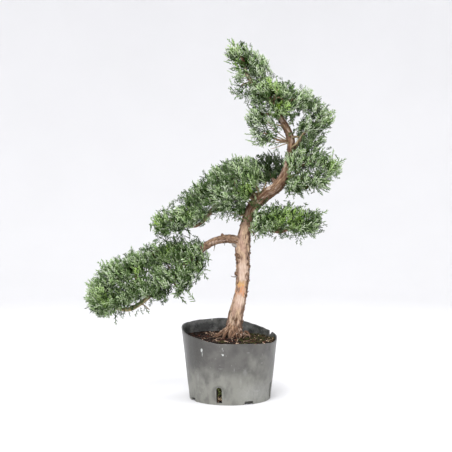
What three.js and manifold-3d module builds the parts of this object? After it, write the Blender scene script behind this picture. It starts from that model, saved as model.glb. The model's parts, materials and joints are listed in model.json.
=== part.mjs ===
// A kishu juniper bonsai in a cut-down nursery pot, at its real size.
// Millimetres, +Z up. The origin is the centre of the pot's underside, and the front faces -Y.
// The grown wood is one solid, with its trunk, branches, twigs, knots and surface roots.
// The foliage is a solid for each leafy pad: small inner balls with pointed sprays of shoots on them.

import * as THREE from "three";
import { mergeVertices } from "three/addons/utils/BufferGeometryUtils.js";
import Module from "manifold-3d";

const wasm = await Module();
wasm.setup();

const GAP = 0.35; // between one solid and the next, where they touch on the real plant
const TURN = 2 * Math.PI;
const SEEDS = { roots: 11, foliage: 2024 };

// Pot
const POT_BASE_RADIUS = 48.2;
const POT_TOP_RADIUS = 57.4; // at POT_TOP
const POT_TOP = 80;
const POT_WALL = 1.5;
const POT_FLOOR = 2.2;
const POT_SIDES = 40;
const POT_OUT_OF_ROUND = 0.6;
const RIM_MEAN = 78.7; // height of the cut rim, and how far it rises to the left and to the back
const RIM_RISE_LEFT = 7;
const RIM_RISE_BACK = 8.5;
const RIM_RIPPLE = 0.5;
const DRAIN_COUNT = 4;
const DRAIN_WIDTH = 5.6;
const DRAIN_LOW = 4;
const DRAIN_HIGH = 20.5;
const FIRST_DRAIN_DEG = -105; // measured round +Z from +X, so -90 is the front
const FOOT_NOTCH = { width: 8, depth: 5, height: 4 };
const RIM_NOTCH = { bearingDeg: 28, width: 4.5, depth: 6 };

// Soil
const SOIL_LEVEL = 71;
const SOIL_RISE_LEFT = 2.5;
const SOIL_MOUND = 4.5; // height of the soil heaped against the trunk
const SOIL_MOUND_RADIUS = 20;
const SOIL_BUMP = 0.9;
const SOIL_RINGS = 3;

// Wood, as routes of [x, y, z, radius]
const TRUNK = [
  [4, 0, 52, 7.4], [4.2, 0, 66, 10.1], [4.8, 0, 76, 10.4], [5.6, 0, 87, 9.3], [8, 0, 101, 8.6],
  [11.4, 1, 116, 7.6], [13.9, 1.5, 129, 7.2], [15.2, 1.5, 142, 7.6], [15.5, 1, 152, 8.1],
  [15.6, 0.5, 163, 7.6], [15.2, 0, 176, 8.5], [16, 0, 188, 8.3], [17.6, 0, 199, 6.8],
  [20.4, 0.5, 211, 6.4], [25, 1, 224, 6.6], [33.5, 1, 236, 7], [44, 0.5, 244.5, 6.3],
  [54.5, 0, 251.5, 5.7], [62.5, 0, 261, 5.9], [67.3, 0, 271, 5.6], [70.8, 0, 282, 5.2],
  [73, 0.5, 294, 4.8], [73.2, 1, 305, 4.5], [71, 1, 315, 4.3], [66.8, 0.5, 324, 4.2],
  [62, 0, 332, 4], [58, 0, 341, 3.7], [53.5, 0, 350, 3.4], [46.5, 0, 359, 3.1],
  [37.5, 0, 367.5, 2.8], [29.5, 0, 374, 2.5], [23.4, 0, 381.5, 2.2], [19, -0.5, 391, 2],
  [16.4, -1, 401, 1.7], [12, -1, 410, 1.4], [6.5, -0.5, 418, 1.1],
];
const BRANCHES = {
  cascade: [
    [16, 0, 184, 6], [5, -1, 189, 5.4], [-4, -2, 190, 4.9], [-14, -3, 188.4, 4.6],
    [-23, -4, 184, 4.3], [-33, -5, 176.6, 3.8], [-46, -6, 166, 3.4], [-61, -8, 152.5, 3],
    [-77, -9, 138, 2.6], [-92, -9, 124.5, 2.4], [-107, -10, 112.6, 2.2], [-120, -10, 106, 2],
    [-133, -10, 107, 1.7], [-144, -9, 112, 1.4],
  ],
  cascadeHigh: [[-58, -7, 155, 2.4], [-64, -5, 164, 1.7], [-70, -4, 172, 1.2]],
  cascadeOuter: [[-98, -9.5, 119, 2], [-105, -9, 130, 1.6], [-112, -7, 143, 1.4], [-115, -2, 156, 1.1]],
  cascadeHanging: [[-71, -8.6, 143.4, 1.6], [-67, -9.5, 138, 1.3], [-62.5, -10, 132, 1]],
  left: [
    [36, 1, 238, 4.6], [25, 3, 243, 4.2], [14, 3, 241, 3.7], [2, 3, 237, 3.4], [-9, 3, 233, 3.1],
    [-18, 3, 227.5, 2.9], [-26, 2, 218.5, 2.6], [-33, 1, 210, 2.4], [-42, 0, 205, 2.1],
    [-54, -1, 206, 1.8], [-66, -2, 210, 1.4], [-77, -3, 212, 1.1],
  ],
  leftHigh: [[6, 3, 238, 2.4], [7, 4, 250, 1.8], [5, 6, 261, 1.4], [2, 9, 268, 1]],
  leftLow: [[12, 3, 240.4, 1.9], [8, -2, 242.5, 1.5], [3, -8, 244.5, 1.1]],
  leftUnder: [[4, 3, 237.6, 1.8], [1, -1, 233, 1.3], [-3, -5, 229, 1]],
  leftOuter: [[-12, 3, 231.5, 2.2], [-23, 4, 237, 1.7], [-34, 5, 242, 1.2]],
  rightLow: [
    [19, 0, 205, 3.8], [27, -6, 204, 3], [38, -10, 203, 2.7], [49, -12, 200.5, 2.5],
    [59, -12.5, 198.5, 2.4], [69, -12.5, 202, 2.1], [80, -12, 207, 1.7], [90, -11, 209, 1.2],
  ],
  rightLowInner: [[36, -9.5, 203.3, 1.9], [37, -9.5, 208, 1.5], [38.5, -9, 214, 1.1]],
  rightLowMiddle: [[58, -12.5, 198.7, 1.9], [57, -12.5, 206, 1.5], [57, -12, 214, 1.1]],
  rightMiddle: [
    [68, 0, 274, 3.4], [76, -6, 274, 2.6], [86, -9, 278, 2.1], [98, -10, 282, 1.7], [109, -11, 280, 1.3],
    [117, -12, 278, 1],
  ],
  rightHanging: [[65, 0, 266, 3], [74, -7, 263, 2.3], [86, -11, 261, 1.8], [99, -11, 260, 1.2]],
  rightHigh: [
    [73, 0.5, 293, 3], [78, 3, 299, 2.5], [83, 5, 306, 2.1], [88.5, 7, 315, 1.8], [97, 8.5, 325, 1.4],
    [107, 10, 333, 1],
  ],
  back: [[57, 1, 253.5, 3.4], [54, 11, 259, 2.5], [50, 23, 266, 2], [47, 34, 273, 1.4]],
  leftAiry: [[71.5, 0.5, 308, 2.2], [63, -5, 306.5, 1.6], [54, -8, 308.5, 1.3], [40, -10, 316, 0.9]],
  leftCrown: [[60, 0, 337, 2.6], [51, -4, 338, 1.8], [41, -6.5, 338.5, 1.2]],
  crownRight: [[56, 0, 345, 3], [65, 3, 352, 2.4], [76, 6, 357, 1.9], [88, 8, 358, 1.3]],
  apexSpray: [[27, 0, 376.5, 1.9], [20, -2, 376, 1.3], [13.5, -3.5, 373, 0.9]],
};
const KNOTS = [
  { at: [8.3, -1, 150], to: [4.4, -2, 151], radius: 2.6 }, // healed stub on the trunk's left
  { at: [-9, -2.5, 193], to: [-9.6, -2.8, 196], radius: 2 },
  { at: [22, -3, 155], to: [24, -3.6, 158], radius: 1.8 },
  { at: [21.5, 1, 178], to: [24.6, 1.2, 181], radius: 1.9 },
  { at: [6.6, -5, 90], to: [4.6, -7.6, 93.5], radius: 2.1 },
];
const ROOTS = {
  count: 6,
  from: 8, // how far from the trunk's middle a root's shoulder is, and how far the longest root reaches
  reach: 24,
  radius: 3.4,
  height: 7, // of the root's start over the soil
  uneven: 0.35, // how much their spacing and their reach differ
  bend: 0.7, // radians
  dive: 4, // depth of the root's end under the soil
};
const TRUNK_SIDES = 9;
const BRANCH_SIDES = 5;
// Flutes run up the bark in a slow turn, with finer ones turning the other way and swells along the wood.
const FLUTES = { count: 3, depth: 0.07, turns: 0.8, fineCount: 5, fineTurns: -1.4, swells: 6.5 };
const HOLE = { sides: 5, widen: 1.4, rings: 0.85 }; // plain holes, wide enough for the fluted wood

// Foliage: for each pad its lumps, as [x, y, z, reach in x, reach in y, reach in z], where reach is
// measured to the tips of the shoots. Shares of that reach say how deep the valleys between the sprays
// of shoots are, and how far the shortest and the longest spray stand out.
const FULL = { valley: 0.5, low: 0.8, high: 1.08 };
const AIRY = { valley: 0.24, low: 0.78, high: 1.1 };
const BROAD_LUMP = 14.5; // a lump with more reach than this has 80 sprays, a smaller one 32
const BORDER = 0.4; // how far each pad keeps from the flat border with the next
const NEIGHBOURLY = 1.3; // lumps closer than this share of their two reaches share a border
const PADS = {
  apex: {
    growth: FULL,
    lumps: [[5, 0, 416, 13, 14, 15], [29, 3, 403, 22, 25, 21], [13, -5, 393, 14, 18, 14]],
  },
  apex_spray: { growth: AIRY, lumps: [[12, -4, 371, 14, 13, 15]] },
  crown_left: { growth: FULL, lumps: [[41, -5, 366, 23, 26, 18]] },
  crown_middle: { growth: FULL, lumps: [[62, 9, 364, 17, 26, 19], [62, -11, 345, 15, 19, 16]] },
  crown_right: { growth: FULL, lumps: [[85, 8, 357, 22, 26, 18], [102, 9, 350, 14, 16, 11]] },
  crown_under: { growth: FULL, lumps: [[35, -8, 336, 18, 20, 16]] },
  left_airy: { growth: AIRY, lumps: [[38, -10, 315, 18, 17, 18], [55, -9, 323, 12, 13, 12]] },
  right_high: {
    growth: FULL,
    lumps: [
      [83, 3, 331, 11, 14, 12], [97, 8, 326, 18, 24, 18], [114, 12, 336, 15, 17, 12],
      [102, 9, 311, 18, 20, 14],
    ],
  },
  right_middle: {
    growth: FULL,
    lumps: [
      [88, 0, 302, 12, 16, 11], [84, -6, 285, 19, 24, 15], [103, -7, 287, 17, 24, 17],
      [119, -12, 276, 17, 19, 14],
    ],
  },
  right_hanging: {
    growth: FULL,
    lumps: [[92, -13, 259, 19, 23, 16], [112, -7, 256, 17, 20, 15], [82, -12, 248, 15, 17, 14]],
  },
  left_upper: { growth: FULL, lumps: [[14, 10, 271, 24, 30, 21], [-11, 11, 264, 21, 29, 18]] },
  left_lower: {
    growth: FULL,
    lumps: [
      [16, -9, 246, 19, 24, 18], [-8, -10, 243, 22, 25, 18], [-10, -6, 227, 18, 17, 12],
      [12, -7, 224, 13, 15, 12],
    ],
  },
  left_outer: { growth: FULL, lumps: [[-33, 6, 245, 19, 25, 17], [-45, 6, 236, 15, 19, 14]] },
  tip_inner: { growth: FULL, lumps: [[-42, -1, 219, 18, 24, 17], [-61, -1, 213, 18, 24, 18]] },
  tip_outer: { growth: FULL, lumps: [[-81, -3, 211, 17, 19, 15], [-75, -3, 200, 15, 16, 12]] },
  back: { growth: FULL, lumps: [[47, 38, 278, 18, 24, 19], [46, 27, 265, 13, 16, 12]] },
  right_low_inner: { growth: FULL, lumps: [[38, -9, 211, 17, 23, 19], [57, -12, 213, 17, 25, 19]] },
  right_low_outer: {
    growth: FULL,
    lumps: [[78, -12, 213, 19, 25, 19], [94, -10, 205, 19, 22, 17], [104, -9, 213, 14, 14, 12]],
  },
  cascade_high: {
    growth: FULL,
    lumps: [[-42, -3, 174, 18, 22, 17], [-64, 3, 174, 22, 28, 18], [-86, 3, 170, 19, 25, 18]],
  },
  cascade_low: {
    growth: FULL,
    lumps: [
      [-38, -9, 158, 13, 16, 14], [-57, -14, 149, 19, 22, 18], [-80, -14, 145, 22, 25, 18],
      [-90, -11, 127, 17, 19, 15],
    ],
  },
  cascade_hanging: { growth: AIRY, lumps: [[-62, -10, 129, 17, 17, 15]] },
  outer_high: { growth: FULL, lumps: [[-113, 1, 159, 18, 24, 19], [-138, -1, 148, 20, 25, 19]] },
  outer_low: { growth: FULL, lumps: [[-110, -13, 133, 19, 23, 18], [-131, -14, 119, 18, 22, 16]] },
  outer_tip: { growth: FULL, lumps: [[-155, -7, 127, 19, 25, 19], [-151, -9, 108, 20, 22, 15]] },
};
const SPRAY = {
  root: 3.4, // thickness of a spray where it starts
  lift: 0.1, // how far the tips bend up, as a share of the way out
  step: 0.04, // shares of the reach in which a spray's length is settled
  uneven: 0.24, // how much the depth of the valleys differs
  least: 0.1, // a spray that would stand out by less than this share is left out
  twig: 0.5, // thickness of the twig between two lumps, as a share of the valleys' radius
};

// Colours
const MATERIALS = {
  pot: new THREE.MeshStandardMaterial({ color: 0x7d8081, roughness: 0.45, metalness: 0 }),
  soil: new THREE.MeshStandardMaterial({ color: 0x3a2a1e, roughness: 0.95, metalness: 0 }),
  wood: new THREE.MeshStandardMaterial({ color: 0xa98468, roughness: 0.85, metalness: 0 }),
  foliage: new THREE.MeshStandardMaterial({ color: 0x4c6b3c, roughness: 0.7, metalness: 0 }),
};

// A small seeded generator, so that every build draws the same numbers.
function seeded(seed) {
  let state = seed >>> 0;
  return () => {
    state = (state + 0x6d2b79f5) >>> 0;
    let t = state;
    t = Math.imul(t ^ (t >>> 15), t | 1);
    t ^= t + Math.imul(t ^ (t >>> 7), t | 61);
    return ((t ^ (t >>> 14)) >>> 0) / 4294967296;
  };
}

// Solids
function solidOf(geometry) {
  const bare = geometry.clone();
  for (const name of Object.keys(bare.attributes)) if (name !== "position") bare.deleteAttribute(name);
  const merged = mergeVertices(bare, 1e-4);
  return new wasm.Manifold(
    new wasm.Mesh({
      numProp: 3,
      vertProperties: new Float32Array(merged.attributes.position.array),
      triVerts: new Uint32Array(merged.index.array),
    }),
  );
}

// The largest single body of a solid: loose scraps go, and a sealed hollow's inner skin goes with them.
function largestBody(solid) {
  return solid.decompose().reduce((best, body) => (body.volume() > best.volume() ? body : best));
}

function unionOf(solids) {
  return solids.reduce((whole, solid) => whole.add(solid));
}

function meshOf(solid, name, material) {
  const { numProp, vertProperties, triVerts } = solid.getMesh();
  const positions = new Float32Array((vertProperties.length / numProp) * 3);
  for (let i = 0; i < positions.length / 3; i++) {
    positions.set(vertProperties.subarray(i * numProp, i * numProp + 3), i * 3);
  }
  const geometry = new THREE.BufferGeometry();
  geometry.setAttribute("position", new THREE.BufferAttribute(positions, 3));
  geometry.setIndex(new THREE.BufferAttribute(triVerts, 1));
  geometry.computeVertexNormals();
  const mesh = new THREE.Mesh(geometry, material);
  mesh.name = name;
  return mesh;
}

// A closed tube of changing thickness along a smooth route, made by bending a cylinder, with a ring
// at each point of the route unless steps says otherwise. relief(angle, along) scales the radius.
function bentTube(route, { sides, steps = route.length - 1, relief = () => 1, grow = 0 }) {
  const curve = new THREE.CatmullRomCurve3(route.map(([x, y, z]) => new THREE.Vector3(x, y, z)));
  const radiusAt = (t) => {
    const place = Math.min(t * (route.length - 1), route.length - 1 - 1e-9);
    const i = Math.floor(place);
    return THREE.MathUtils.lerp(route[i][3], route[i + 1][3], place - i);
  };
  const rings = [];
  let across = new THREE.Vector3(0, 1, 0);
  for (let i = 0; i <= steps; i++) {
    const t = i / steps;
    const tangent = curve.getTangent(t);
    across = across.clone().addScaledVector(tangent, -across.dot(tangent)).normalize();
    const depth = across.clone().cross(tangent);
    rings.push({ centre: curve.getPoint(t), across, depth, tangent, radius: radiusAt(t) });
  }
  rings[0].centre.addScaledVector(rings[0].tangent, -grow);
  rings[steps].centre.addScaledVector(rings[steps].tangent, grow);
  const geometry = new THREE.CylinderGeometry(1, 1, 1, sides, steps);
  const position = geometry.attributes.position;
  for (let i = 0; i < position.count; i++) {
    const [x, y, z] = [position.getX(i), position.getY(i), position.getZ(i)];
    const along = y + 0.5;
    const ring = rings[Math.round(along * steps)];
    const size = ring.radius * relief(Math.atan2(z, x), along) + grow;
    const point = ring.centre
      .clone()
      .addScaledVector(ring.across, x * size)
      .addScaledVector(ring.depth, z * size);
    position.setXYZ(i, point.x, point.y, point.z);
  }
  return solidOf(geometry);
}

// Pot
const potRadiusAt = (angle, z) =>
  THREE.MathUtils.lerp(POT_BASE_RADIUS, POT_TOP_RADIUS, z / POT_TOP) +
  POT_OUT_OF_ROUND * (z / POT_TOP) * Math.sin(2 * angle + 0.6);

const rimHeightAt = (angle) =>
  RIM_MEAN -
  RIM_RISE_LEFT * Math.cos(angle) +
  RIM_RISE_BACK * Math.sin(angle) +
  RIM_RIPPLE * Math.sin(5 * angle + 1);

// Turns a lathe profile's unit heights and rounds into the pot's own leaning, slightly oval form.
function roundBody(profile, place) {
  const geometry = new THREE.LatheGeometry(
    profile.map(([r, z]) => new THREE.Vector2(r, z)),
    POT_SIDES,
  );
  geometry.rotateX(Math.PI / 2);
  const position = geometry.attributes.position;
  for (let i = 0; i < position.count; i++) {
    const [x, y, z] = [position.getX(i), position.getY(i), position.getZ(i)];
    const moved = place(Math.hypot(x, y), Math.atan2(y, x), z);
    position.setXYZ(i, ...moved);
  }
  return solidOf(geometry);
}

// In this profile 0 is the axis, 1 the outside of the wall and 2 its inside, and heights run from 0
// at the foot to 1 at the rim.
const OUTSIDE = 1;
const INSIDE = 2;
function makePotShell() {
  const profile = [[0, 0], [OUTSIDE, 0], [OUTSIDE, 1], [INSIDE, 1], [INSIDE, 0], [0, 0.5]];
  const insideHeight = (angle, s) => THREE.MathUtils.lerp(POT_FLOOR, rimHeightAt(angle), s);
  return roundBody(profile, (level, angle, s) => {
    if (level < 0.5) return [0, 0, s > 0 ? POT_FLOOR : 0];
    const onInside = level > 1.5;
    const z = onInside ? insideHeight(angle, s) : s * rimHeightAt(angle);
    const r = potRadiusAt(angle, z) - (onInside ? POT_WALL : 0);
    return [r * Math.cos(angle), r * Math.sin(angle), z];
  });
}

// An upright block with a round top, from z = low to high, reaching through the wall at a bearing.
function wallSlot(bearingDeg, width, low, high) {
  const half = width / 2;
  const outline = new THREE.Shape();
  outline.moveTo(-half, low);
  outline.lineTo(half, low);
  outline.lineTo(half, high - half);
  outline.absarc(0, high - half, half, 0, Math.PI);
  outline.lineTo(-half, low);
  const length = 4 * POT_WALL;
  const options = { depth: length, bevelEnabled: false, curveSegments: 5 };
  const geometry = new THREE.ExtrudeGeometry(outline, options);
  geometry.rotateX(Math.PI / 2);
  geometry.translate(0, -POT_BASE_RADIUS + length / 2, 0);
  geometry.rotateZ(THREE.MathUtils.degToRad(bearingDeg + 90));
  return solidOf(geometry);
}

function footNotch(bearingDeg) {
  const { width, depth, height } = FOOT_NOTCH;
  const geometry = new THREE.BoxGeometry(2 * depth, width, 2 * height);
  geometry.translate(POT_BASE_RADIUS, 0, 0);
  geometry.rotateZ(THREE.MathUtils.degToRad(bearingDeg));
  return solidOf(geometry);
}

function rimNotch() {
  const { bearingDeg, width, depth } = RIM_NOTCH;
  const rim = rimHeightAt(THREE.MathUtils.degToRad(bearingDeg));
  const outline = new THREE.Shape();
  outline.moveTo(0, rim - depth);
  outline.lineTo(width, rim + depth);
  outline.lineTo(-width, rim + depth);
  const geometry = new THREE.ExtrudeGeometry(outline, { depth: 8 * POT_WALL, bevelEnabled: false });
  geometry.rotateX(Math.PI / 2);
  geometry.translate(0, -POT_TOP_RADIUS + 4 * POT_WALL, 0);
  geometry.rotateZ(THREE.MathUtils.degToRad(bearingDeg + 90));
  return solidOf(geometry);
}

function makePot() {
  let pot = makePotShell();
  for (let i = 0; i < DRAIN_COUNT; i++) {
    const bearing = FIRST_DRAIN_DEG + (i * 360) / DRAIN_COUNT;
    pot = pot.subtract(wallSlot(bearing, DRAIN_WIDTH, DRAIN_LOW, DRAIN_HIGH));
    pot = pot.subtract(footNotch(bearing + 180 / DRAIN_COUNT));
  }
  return largestBody(pot.subtract(rimNotch()));
}

// Wood
const barkFlutes = (angle, along) =>
  1 +
  FLUTES.depth * Math.sin(FLUTES.count * angle + FLUTES.turns * TURN * along) +
  (FLUTES.depth / 2) * Math.sin(FLUTES.fineCount * angle + FLUTES.fineTurns * TURN * along) +
  (FLUTES.depth / 3) * Math.sin(FLUTES.swells * TURN * along + 2 * angle);

function rootRoutes() {
  const random = seeded(SEEDS.roots);
  const [baseX, baseY] = TRUNK[2];
  return Array.from({ length: ROOTS.count }, (_, i) => {
    const angle = ((i + ROOTS.uneven * random()) / ROOTS.count) * TURN;
    const reach = ROOTS.reach * (1 - ROOTS.uneven * random());
    const bent = angle + ROOTS.bend * (random() - 0.5);
    const at = (away, heading, rise, radius) => {
      const [x, y] = [baseX + away * Math.cos(heading), baseY + away * Math.sin(heading)];
      return [x, y, soilHeightAt(x, y) + rise, radius];
    };
    return [
      at(ROOTS.from / 4, angle, ROOTS.height, ROOTS.radius * 0.9),
      at(ROOTS.from, angle, ROOTS.height / 4, ROOTS.radius),
      at((ROOTS.from + reach) / 2, bent, -ROOTS.dive / 8, ROOTS.radius * 0.6),
      at(reach, bent, -ROOTS.dive, ROOTS.radius * 0.35),
    ];
  });
}

const allRoutes = () => [TRUNK, ...Object.values(BRANCHES), ...rootRoutes()];

// The whole tree of wood, grown together in one piece.
function makeWood() {
  const parts = allRoutes().map((route, i) =>
    bentTube(route, { sides: i === 0 ? TRUNK_SIDES : BRANCH_SIDES, relief: barkFlutes }),
  );
  for (const { at, to, radius } of KNOTS) {
    parts.push(bentTube([[...at, radius], [...to, radius * 0.6]], { sides: BRANCH_SIDES }));
  }
  return largestBody(unionOf(parts));
}

// Plain tubes round the same routes, to cut the holes that the wood stands in.
function makeWoodHoles() {
  const widened = (route) => route.map(([x, y, z, radius]) => [x, y, z, radius * HOLE.widen]);
  return unionOf(
    allRoutes().map((route) =>
      bentTube(widened(route), {
        sides: HOLE.sides,
        steps: Math.max(3, Math.round(HOLE.rings * route.length)),
        grow: GAP,
      }),
    ),
  );
}

// Soil
function soilHeightAt(x, y) {
  const [trunkX, trunkY] = TRUNK[2];
  const away = Math.hypot(x - trunkX, y - trunkY) / SOIL_MOUND_RADIUS;
  return (
    SOIL_LEVEL -
    (SOIL_RISE_LEFT * x) / POT_BASE_RADIUS +
    SOIL_MOUND * Math.exp(-away * away) +
    SOIL_BUMP * Math.sin(0.31 * x + 1) * Math.cos(0.27 * y)
  );
}

function makeSoil(woodHoles) {
  const rings = Array.from({ length: SOIL_RINGS }, (_, i) => 1 - i / SOIL_RINGS);
  const profile = [[0, 0], [1, 0], ...rings.map((share) => [share, 1]), [0, 1]];
  const floor = POT_FLOOR + GAP;
  const body = roundBody(profile, (share, angle, s) => {
    const edgeRadius = potRadiusAt(angle, s > 0 ? SOIL_LEVEL : floor) - POT_WALL - 2 * GAP;
    const [x, y] = [share * edgeRadius * Math.cos(angle), share * edgeRadius * Math.sin(angle)];
    return [x, y, s > 0 ? soilHeightAt(x, y) : floor];
  });
  return largestBody(body.subtract(woodHoles));
}

// Foliage
const centreOf = ([x, y, z]) => new THREE.Vector3(x, y, z);
const meanReach = ([, , , rx, ry, rz]) => (rx + ry + rz) / 3;

// How far inside its own lump's space a point is. The space ends at a flat border with the next lump,
// the plane in which the two would meet as balls.
function depthInOwnSpace(point, own, other) {
  const power = (lump) => point.distanceToSquared(centreOf(lump)) - meanReach(lump) ** 2;
  return (power(other) - power(own)) / (2 * centreOf(other).distanceTo(centreOf(own)));
}

// A route as straight stretches, each with the room that the sprays leave round its two ends.
const stretchesOf = (route, widen) => {
  const roomAt = ([, , , radius]) => widen * radius + GAP + SPRAY.root / 2;
  return route.slice(1).map((end, i) => ({
    line: new THREE.Line3(centreOf(route[i]), centreOf(end)),
    rooms: [roomAt(route[i]), roomAt(end)],
  }));
};

const nearest = new THREE.Vector3();
const isClearOf = (stretches, point) =>
  stretches.every(({ line, rooms }) => {
    const along = line.closestPointToPointParameter(point, false);
    if (along < 0 || along > 1) return true;
    return line.at(along, nearest).distanceTo(point) > THREE.MathUtils.lerp(...rooms, along);
  });

const ZENITH = new THREE.Vector3(0, 0, 1);

// A lump of close growth: a small ball with a pointed spray of shoots on each of its faces, each of its
// own length. A spray stops short of the wood and at the border with the next lump.
function leafyLump(lump, { growth, otherPads, samePad, stretches }, random) {
  const reach = new THREE.Vector3(...lump.slice(3));
  const place = (way, share) => {
    const lift = SPRAY.lift * Math.max(0, share - growth.valley) * reach.z;
    const out = way.clone().multiply(reach).multiplyScalar(share);
    return centreOf(lump).add(out).addScaledVector(ZENITH, lift);
  };
  const staysIn = (point, others, margin) =>
    others.every((other) => depthInOwnSpace(point, lump, other) > margin);
  const farthest = (way, wanted, fits) => {
    let share = SPRAY.step;
    while (share + SPRAY.step <= wanted && fits(place(way, share + SPRAY.step), share)) share += SPRAY.step;
    return share;
  };
  const corners = new Map();
  const cornerAt = (way) => {
    const key = way.toArray().map((value) => Math.round(1000 * value)).join();
    const wanted = growth.valley * (1 + SPRAY.uneven * (random() - 0.5));
    if (!corners.has(key)) {
      corners.set(key, place(way, farthest(way, wanted, (point) => staysIn(point, otherPads, BORDER))));
    }
    return corners.get(key);
  };
  const tipShare = (way) =>
    farthest(
      way,
      THREE.MathUtils.lerp(growth.low, growth.high, random()),
      (point, share) =>
        staysIn(point, otherPads, BORDER) &&
        (share < growth.valley || (staysIn(point, samePad, BORDER) && isClearOf(stretches, point))),
    );

  const isBroad = Math.min(...reach.toArray()) > BROAD_LUMP;
  const ball = isBroad ? new THREE.IcosahedronGeometry(1, 1) : new THREE.OctahedronGeometry(1, 1);
  ball.rotateX(TURN * random());
  ball.rotateZ(TURN * random());
  const position = ball.attributes.position;
  const points = [];
  for (let i = 0; i < position.count; i += 3) {
    const wayTo = (k) => new THREE.Vector3().fromBufferAttribute(position, k).normalize();
    const ways = [wayTo(i), wayTo(i + 1), wayTo(i + 2)];
    const base = ways.map(cornerAt);
    const middle = ways[0].clone().add(ways[1]).add(ways[2]).normalize();
    const share = tipShare(middle);
    const faces = base.map((corner, k) => [corner, base[(k + 1) % 3], place(middle, share)]);
    const isBare = share < growth.valley + SPRAY.least;
    for (const face of isBare ? [base] : faces) points.push(...face.flatMap((point) => point.toArray()));
  }
  const star = new THREE.BufferGeometry();
  star.setAttribute("position", new THREE.Float32BufferAttribute(points, 3));
  return solidOf(star);
}

// The routes of the leafy twigs that join a pad's lumps.
function twigRoutes({ growth, lumps }) {
  const thickness = (lump) => SPRAY.twig * growth.valley * Math.min(...lump.slice(3));
  return lumps.slice(1).map((lump, i) => [lumps[i], lump].map((end) => [...end.slice(0, 3), thickness(end)]));
}

function makeFoliage(woodHoles) {
  const random = seeded(SEEDS.foliage);
  const wood = allRoutes().flatMap((route) => stretchesOf(route, HOLE.widen));
  const isNear = (lump) => (other) =>
    centreOf(other).distanceTo(centreOf(lump)) < NEIGHBOURLY * (meanReach(other) + meanReach(lump));
  return Object.entries(PADS).map(([name, pad]) => {
    const rivals = Object.values(PADS).filter((other) => other !== pad);
    const twigs = twigRoutes(pad);
    const stretches = [...wood, ...twigs.flatMap((route) => stretchesOf(route, 1))];
    const leafy = pad.lumps.map((lump) => {
      const otherPads = rivals.flatMap((other) => other.lumps).filter(isNear(lump));
      const samePad = pad.lumps.filter((other) => other !== lump);
      return leafyLump(lump, { growth: pad.growth, otherPads, samePad, stretches }, random);
    });
    const joints = twigs.map((route) => bentTube(route, { sides: 3 }));
    const solid = unionOf([...leafy, ...joints]).subtract(woodHoles);
    return { name: `foliage_${name}`, solid: largestBody(solid) };
  });
}

// Assembly
const woodHoles = makeWoodHoles();
const bonsai = new THREE.Group();
bonsai.add(meshOf(makePot(), "pot", MATERIALS.pot));
bonsai.add(meshOf(makeSoil(woodHoles), "soil", MATERIALS.soil));
bonsai.add(meshOf(makeWood(), "trunk_and_branches", MATERIALS.wood));
for (const { name, solid } of makeFoliage(woodHoles)) {
  bonsai.add(meshOf(solid, name, MATERIALS.foliage));
}

export default bonsai;
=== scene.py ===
"""A kishu juniper bonsai in a cut-down nursery pot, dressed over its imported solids.

Sizes in the classes are in millimetres, and meshes are made in metres.
"""

import json
import logging
import math
from collections.abc import Iterable, Sequence
from dataclasses import dataclass, field
from enum import Enum

import bmesh
import bpy
import numpy as np
from mathutils import Euler, Matrix, Vector, noise
from mathutils.bvhtree import BVHTree

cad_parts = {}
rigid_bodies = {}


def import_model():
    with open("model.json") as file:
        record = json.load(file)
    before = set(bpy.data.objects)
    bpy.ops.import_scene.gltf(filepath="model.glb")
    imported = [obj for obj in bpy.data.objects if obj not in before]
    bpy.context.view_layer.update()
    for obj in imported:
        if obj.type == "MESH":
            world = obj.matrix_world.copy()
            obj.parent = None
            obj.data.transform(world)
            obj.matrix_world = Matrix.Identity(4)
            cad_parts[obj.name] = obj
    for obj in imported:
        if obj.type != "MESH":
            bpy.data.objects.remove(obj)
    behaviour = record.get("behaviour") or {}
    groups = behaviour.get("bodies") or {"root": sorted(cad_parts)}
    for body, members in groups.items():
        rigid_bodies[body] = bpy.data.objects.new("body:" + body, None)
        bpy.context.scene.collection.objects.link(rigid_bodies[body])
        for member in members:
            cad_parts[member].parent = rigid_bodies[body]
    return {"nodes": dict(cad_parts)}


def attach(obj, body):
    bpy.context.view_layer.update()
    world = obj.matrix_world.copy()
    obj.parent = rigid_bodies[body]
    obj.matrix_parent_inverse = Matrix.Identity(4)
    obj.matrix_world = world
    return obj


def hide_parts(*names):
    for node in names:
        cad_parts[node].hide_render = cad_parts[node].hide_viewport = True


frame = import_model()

LOG = logging.getLogger("bonsai")
MM = 0.001
TURN = 2 * math.pi
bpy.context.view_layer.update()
# The place of the eye in the front view.
EYE = Vector((-4.8, -1000.0, 205.0))

Point = tuple[float, float, float]
Route = Sequence[tuple[float, float, float, float]]
Colour = tuple[float, float, float, float]
Oval = tuple[float, float, float, float]
Mark = tuple[float, float, float, float, float]
Lump = tuple[float, float, float, float, float, float]
Material = bpy.types.Material
Socket = bpy.types.NodeSocket


def shade(red: int, green: int, blue: int) -> Colour:
    """Turns a colour given as it looks on a screen, 0 to 255, into the linear values of a shader.

    Args:
        red: How red it looks.
        green: How green it looks.
        blue: How blue it looks.

    Returns:
        The linear colour, with full alpha.
    """
    linear = [((v / 255 + 0.055) / 1.055) ** 2.4 if v > 10 else v / 255 / 12.92 for v in (red, green, blue)]
    return (linear[0], linear[1], linear[2], 1.0)


def ease(low: float, high: float, value: float) -> float:
    """Rises smoothly from 0 at low to 1 at high.

    Args:
        low: Where the rise starts.
        high: Where it ends.
        value: Where it is read.

    Returns:
        The eased share.
    """
    share = min(1.0, max(0.0, (value - low) / (high - low)))
    return share * share * (3 - 2 * share)


def seen(place: Vector) -> tuple[float, float]:
    """Returns how far right and up a place shows from the eye, measured at the pot's axis."""
    share = EYE.y / (EYE.y - place.y)
    return EYE.x + (place.x - EYE.x) * share, EYE.z + (place.z - EYE.z) * share


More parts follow.
